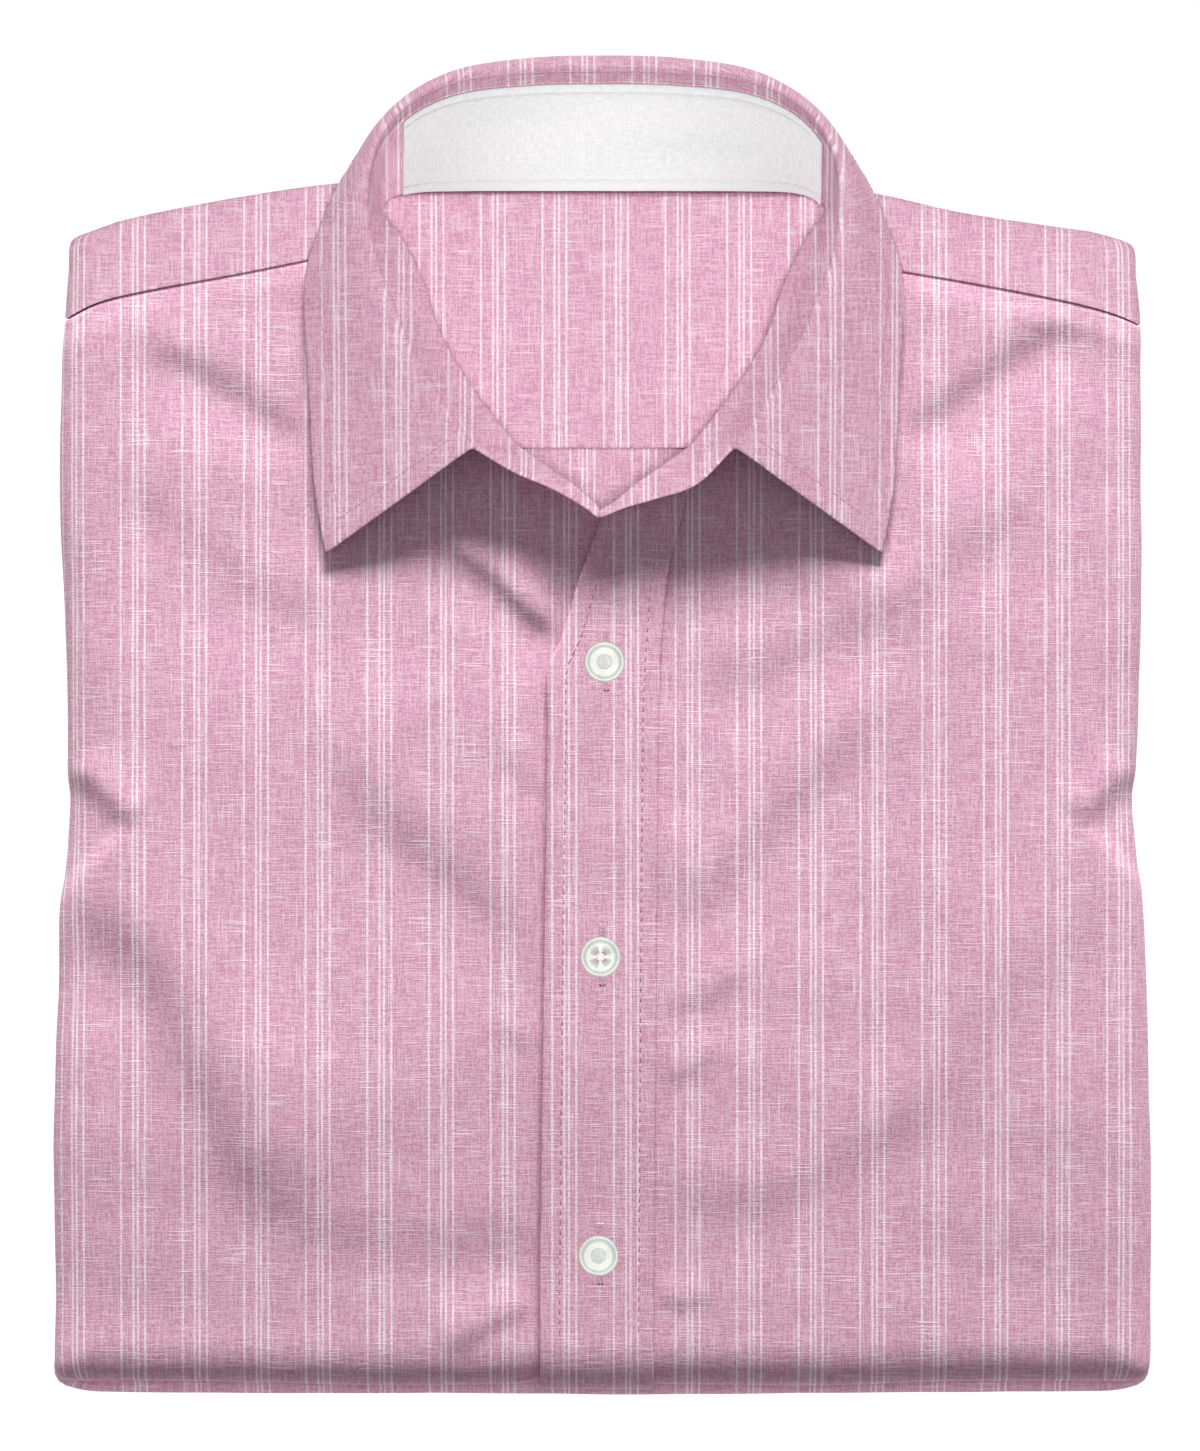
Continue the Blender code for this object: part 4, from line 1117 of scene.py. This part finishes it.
def turned_piece(name, profile, segments):
    """A turned body from its half section, from the top of the axis to its foot."""
    shape = bmesh.new()
    ring = [shape.verts.new((r * MM, 0.0, z * MM)) for r, z in profile]
    edges = [shape.edges.new(pair) for pair in zip(ring, ring[1:])]
    bmesh.ops.spin(shape, geom=ring + edges, axis=(0, 0, 1), cent=(0, 0, 0), steps=segments,
                   angle=2 * pi)
    bmesh.ops.remove_doubles(shape, verts=shape.verts, dist=1e-6)
    bmesh.ops.recalc_face_normals(shape, faces=shape.faces)
    mesh = mesh_of(name, shape)
    mesh.shade_smooth()
    mesh.set_sharp_from_angle(angle=radians(50))
    return placed(name, mesh)


def drill_holes(item):
    """The four holes of a button, cut through it."""
    holes = bmesh.new()
    for k in range(4):
        angle = pi / 4 + k * pi / 2
        spot = (1.27 * np.cos(angle) * MM, 1.27 * np.sin(angle) * MM, 1.3 * MM)
        bmesh.ops.create_cone(holes, cap_ends=True, segments=20, radius1=0.62 * MM,
                              radius2=0.62 * MM, depth=6 * MM, matrix=Matrix.Translation(spot))
    cutter = placed("button_holes", mesh_of("button_holes", holes))
    cutter.location = item.location
    drill = item.modifiers.new("drill", "BOOLEAN")
    drill.object = cutter
    drill.operation = "DIFFERENCE"
    bpy.context.view_layer.update()
    graph = bpy.context.evaluated_depsgraph_get()
    done = bpy.data.meshes.new_from_object(item.evaluated_get(graph))
    item.modifiers.clear()
    item.data = done
    bpy.data.objects.remove(cutter, do_unlink=True)


def button(name, x, y, look):
    well, top, edge = BUTTON_RADIUS - 1.3, BUTTON_THICK, BUTTON_RADIUS
    profile = [(0.0, top - BUTTON_DISH), (well - 0.9, top - BUTTON_DISH),
               (well - 0.3, top - BUTTON_DISH + 0.05), (well, top - 0.2), (well + 0.3, top - 0.04),
               (edge - 0.6, top), (edge - 0.3, top - 0.1), (edge - 0.06, top - 0.4),
               (edge, top - 0.85), (edge - 0.12, 1.1), (edge - 0.7, 0.5),
               (edge - 1.7, 0.05), (edge - 2.2, 0.0), (0.0, 0.0)]
    item = turned_piece(name + "_turned", profile, 72)
    level = float(placket_level(np.array(x), np.array(y))) + GAP
    item.location = (x * MM, y * MM, level * MM)
    if look == "holes":
        drill_holes(item)
    dress(item, name, resin)
    threads = thread_knot(name, look)
    threads.location = item.location
    dress(threads, None, resin if look == "dome" else white_thread)
    return [item, threads]


def rods(name, ends, radius, sides=6):
    """Many short round-ended pieces of thread as one mesh; ends are pairs of points."""
    ends = np.asarray(ends, float)
    first, last = ends[:, 0], ends[:, 1]
    span = last - first
    size = np.linalg.norm(span, axis=1, keepdims=True)
    way = span / np.maximum(size, 1e-6)
    pole = np.where(np.abs(way[:, 2:3]) < 0.9, [[0.0, 0.0, 1.0]], [[1.0, 0.0, 0.0]])
    across = np.cross(way, pole)
    across /= np.linalg.norm(across, axis=1, keepdims=True)
    up = np.cross(across, way)
    turns = np.arange(sides) * 2 * pi / sides
    rings = []
    for at, wide, push in ((0, 0.45, 0.0), (0, 0.9, 0.6), (1, 0.9, -0.6), (1, 0.45, 0.0)):
        centre = (last if at else first) + way * radius * push
        ring = centre[:, None] + radius * wide * (
            np.cos(turns)[None, :, None] * across[:, None]
            + np.sin(turns)[None, :, None] * up[:, None])
        rings.append(ring)
    verts = np.stack(rings, axis=1).reshape(-1, 3)
    count, faces = len(ends), []
    base = np.arange(count) * 4 * sides
    for k in range(3):
        for j in range(sides):
            n = (j + 1) % sides
            faces += np.stack((base + k * sides + j, base + k * sides + n,
                               base + (k + 1) * sides + n, base + (k + 1) * sides + j),
                              axis=1).tolist()
    ring = np.arange(sides)
    faces += (base[:, None] + ring[::-1]).tolist() + (base[:, None] + 3 * sides + ring).tolist()
    return placed(name, smooth_mesh(name, verts, faces))


def stitch_ends(path, length=2.3, gap=0.7):
    """Ends of the stitches along a path of points."""
    path = np.asarray(path, float)
    reach = np.concatenate(([0.0], np.cumsum(np.linalg.norm(np.diff(path, axis=0), axis=1))))
    starts = np.arange(0.0, reach[-1] - length, length + gap)
    spots = [np.stack([np.interp(starts + step, reach, path[:, k]) for k in range(3)], axis=1)
             for step in (0.0, length)]
    return np.stack(spots, axis=1)


def sewn(name, paths, finish, radius=0.17):
    """Rows of stitches as one piece."""
    item = rods(name, np.concatenate([stitch_ends(path) for path in paths]), radius)
    return dress(item, None, finish)


DOME = (
    # out, up from the floor of the button's well
    (0.0, 0.62), (0.35, 0.6), (0.5, 0.5), (0.65, 0.56), (1.0, 0.5), (1.15, 0.38), (1.3, 0.44),
    (1.65, 0.36), (1.8, 0.24), (1.95, 0.28), (2.2, 0.16), (2.3, 0.0),
)


def thread_knot(name, look):
    """The thread that holds a button: crossed between its holes, or wound into a dome."""
    floor = BUTTON_THICK - BUTTON_DISH
    if look == "dome":
        wound = [(r, floor + z + 0.02) for r, z in DOME]
        return turned_piece(name + "_thread", wound + [(0.0, floor + 0.02)], 32)
    ends = []
    for turn in (pi / 4, 3 * pi / 4):
        c, s = np.cos(turn), np.sin(turn)
        for k in (-1, 0, 1):
            x, y = -s * k * 0.26, c * k * 0.26
            ends.append(((x - c * 1.25, y - s * 1.25, floor + 0.12),
                         (x + c * 1.25, y + s * 1.25, floor + 0.12)))
    return rods(name + "_thread", ends, 0.24)


# ---------------------------------------------------------------- stitches and buttonholes

PLACKET_STITCH = (5.4, 4.2)     # in from the left and right edges
LEAF_STITCH = 6.0


def leaf_length(t):
    _, seam, end = section(t)
    return end - seam - COLLAR_SEAM


def placket_stitches():
    up = np.linspace(60.0, float(hem_edge(0.0)) + HEM_ROLL, 300)
    paths = []
    for x in (placket_left(up) + PLACKET_STITCH[0], placket_right(up) - PLACKET_STITCH[1]):
        ends = up < front_top(np.maximum(x, NECKLINE[0][0]), 1) - 3.0
        paths.append(np.stack((x, up, placket_level(x, up) + 0.1), axis=1)[ends])
    return sewn("placket_stitches", paths, pink_thread)


def leaf_stitches():
    lift = BAND / 2 + 0.1
    paths = []
    for side in (-1, 1):
        outer = [on_band(leaf_row, side * t, 1 - LEAF_STITCH / leaf_length(t), lift)
                 for t in np.linspace(3.0, LEAF_END - 0.32, 160)]
        front_edge = []
        for share in np.linspace(0.12, 1 - LEAF_STITCH / leaf_length(LEAF_END), 60):
            inset = LEAF_STITCH / (11.0 + 10.0 * share)
            front_edge.append(on_band(leaf_row, side * (LEAF_END - inset), share, lift))
        paths += [outer, front_edge]
    crest = [on_band(leaf_row, t, 2.9 / leaf_length(t), lift) for t in np.linspace(-3.4, 3.4, 120)]
    return sewn("collar_leaf_stitches", paths + [crest], pink_thread)


def facing_stitches():
    lift = BAND / 2 + FACING_GAP + FACING + 0.06
    paths = [facing_row(share, 150, lift)[3:-3] for share in FACING_STITCH]
    return sewn("facing_stitches", paths, white_thread, 0.16)


def buttonhole(name, x, y):
    """A worked hole: two columns of satin stitches side by side."""
    half, step = 8.8, 0.4
    ends = []
    for up in np.arange(-half, half + 0.01, step):
        for side in (-1, 1):
            ends.append(((x + side * 0.12, y + up), (x + side * 0.95, y + up + step / 2)))
    lines = np.array(ends)
    level = placket_level(lines[..., 0], lines[..., 1]) + 0.1
    item = rods(name, np.concatenate((lines, level[..., None]), axis=2), 0.16)
    return dress(item, None, chambray_thread)


# ---------------------------------------------------------------- room, light and camera

def stage():
    shape = bmesh.new()
    bmesh.ops.create_grid(shape, x_segments=1, y_segments=1, size=3.0)
    floor = placed("paper_floor", mesh_of("paper_floor", shape))
    floor.location = (0.0, 0.0, -0.0002)
    floor.data.materials.append(studio_floor("studio_floor"))


FLAG = (
    # across, up: outline of the shade that it casts, drawn to the shade wanted on the cloth
    (-46.0, 96.0), (62.0, 96.0), (70.0, 47.0), (44.0, 45.0), (24.0, 41.0), (8.0, 37.0),
    (-6.0, 34.0), (-18.0, 46.0), (-46.0, 52.0),
)
FLAG_HEIGHT = 40.0      # how far above the floor it hangs, over the neck
FLAG_REACH = 42.0       # how far the card is from its shade, towards the lamp
FLAG_DRIFT = 4.0        # and to the side


def softbox(name, place, aim, size, power, lit=None, shading=None):
    """A soft area light. Light linking lets it fall on the lit pieces only, and lets only
    the shading ones stop it, which no real lamp does."""
    light = bpy.data.lights.new(name, "AREA")
    light.shape = "RECTANGLE"
    light.size, light.size_y = size
    light.energy = power
    item = placed(name, light)
    item.location = place
    item.rotation_euler = (Vector(aim) - Vector(place)).to_track_quat("-Z", "Y").to_euler()
    for role, chosen in (("receiver_collection", lit), ("blocker_collection", shading)):
        if chosen:
            group = bpy.data.collections.new(name + "_" + role)
            for piece in chosen:
                group.objects.link(piece)
            setattr(item.light_linking, role, group)


def black_card(name):
    """Matt black card. It is hidden from the camera, and only stops light."""
    return blank_material(name, {"Base Color": linear("#101010"), "Roughness": 0.9})[0]


def flag():
    """A card close over the neck, inside the frame but hidden from the camera. It keeps the
    raking light off the cloth at the foot of the collar."""
    edge = [(x + FLAG_DRIFT, y + FLAG_REACH, FLAG_HEIGHT) for x, y in FLAG]
    mesh = bpy.data.meshes.new("lamp_flag")
    mesh.from_pydata((np.array(edge) * MM).tolist(), [], [list(range(len(edge)))])
    card = placed("lamp_flag", mesh)
    card.visible_camera = card.visible_diffuse = card.visible_glossy = False
    card.visible_transmission = False
    card.data.materials.append(black_card("black_card"))
    return card


def camera():
    """Straight down on the shirt, with a long lens, as catalogue pictures are taken."""
    lens = bpy.data.cameras.new("camera")
    lens.lens = 240.0
    lens.sensor_width = 36.0
    lens.sensor_fit = "VERTICAL"
    lens.sensor_height = 36.0
    item = placed("camera", lens)
    framed = 1451 * 0.3 * MM
    item.location = (-1.2 * MM, -0.15 * MM, framed * lens.lens / lens.sensor_height + 20 * MM)
    bpy.context.scene.camera = item


def studio(body, neck, collar, inner, layers, trims):
    """Five lamps, each on its own pieces and set to its own power: low light from the collar
    side rakes the body, and others light the neck, layers, collar and facing from overhead."""
    world = bpy.data.worlds.new("studio")
    bpy.context.scene.world = world
    world.use_nodes = True
    sky = world.node_tree.nodes["Background"].inputs
    sky[0].default_value, sky[1].default_value = (1.0, 1.0, 1.0, 1.0), 0.29
    shirt = body + neck + collar + inner + layers
    softbox("raking", (0.2, 3.9, 1.48), (0.0, 0.0, 0.0), (2.0, 0.62), 412.0, body,
            shirt + [flag()])
    softbox("overhead", (0.1, 0.1, 1.5), (0.0, 0.08, 0.0), (1.1, 1.1), 24.0, neck + trims, shirt)
    softbox("layers", (0.1, 0.1, 1.5), (0.0, 0.0, 0.0), (1.1, 1.1), 10.5, layers, shirt)
    softbox("collar", (0.05, 0.6, 1.38), (0.0, 0.1, 0.0), (1.0, 1.0), 20.0, collar, shirt)
    softbox("facing", (0.0, 0.12, 0.13), (0.0, 0.18, 0.02), (0.03, 0.03), 0.122, inner, shirt)
    bpy.context.scene.view_settings.view_transform = "Standard"


# ---------------------------------------------------------------- the shirt

stack = folded_layers()
back_cloth = back()
yoke_cloth = yoke()
left_cloth = front(-1, "front_left_cloth", "front_left")
right_cloth = front(1, "front_right_cloth", "front_right")
placket_cloth = placket()
stand_cloth = stand()
facing_cloth = facing()
leaf_cloth = leaf()
trims = []
for button_name, button_x, button_y, look in BUTTONS:
    trims += button(button_name, button_x, button_y, look)
body_trims = [placket_stitches()]
for button_name, button_x, button_y, _ in BUTTONS:
    hole_name = button_name.replace("button", "buttonhole")
    body_trims.append(buttonhole(hole_name, button_x + 0.6, button_y + 0.5))
collar_trims = [leaf_stitches(), facing_stitches()]

stage()
camera()
studio([left_cloth, right_cloth, placket_cloth, *body_trims],
       [back_cloth, yoke_cloth, stand_cloth], [leaf_cloth, collar_trims[0]],
       [facing_cloth, collar_trims[1]], [stack], trims)
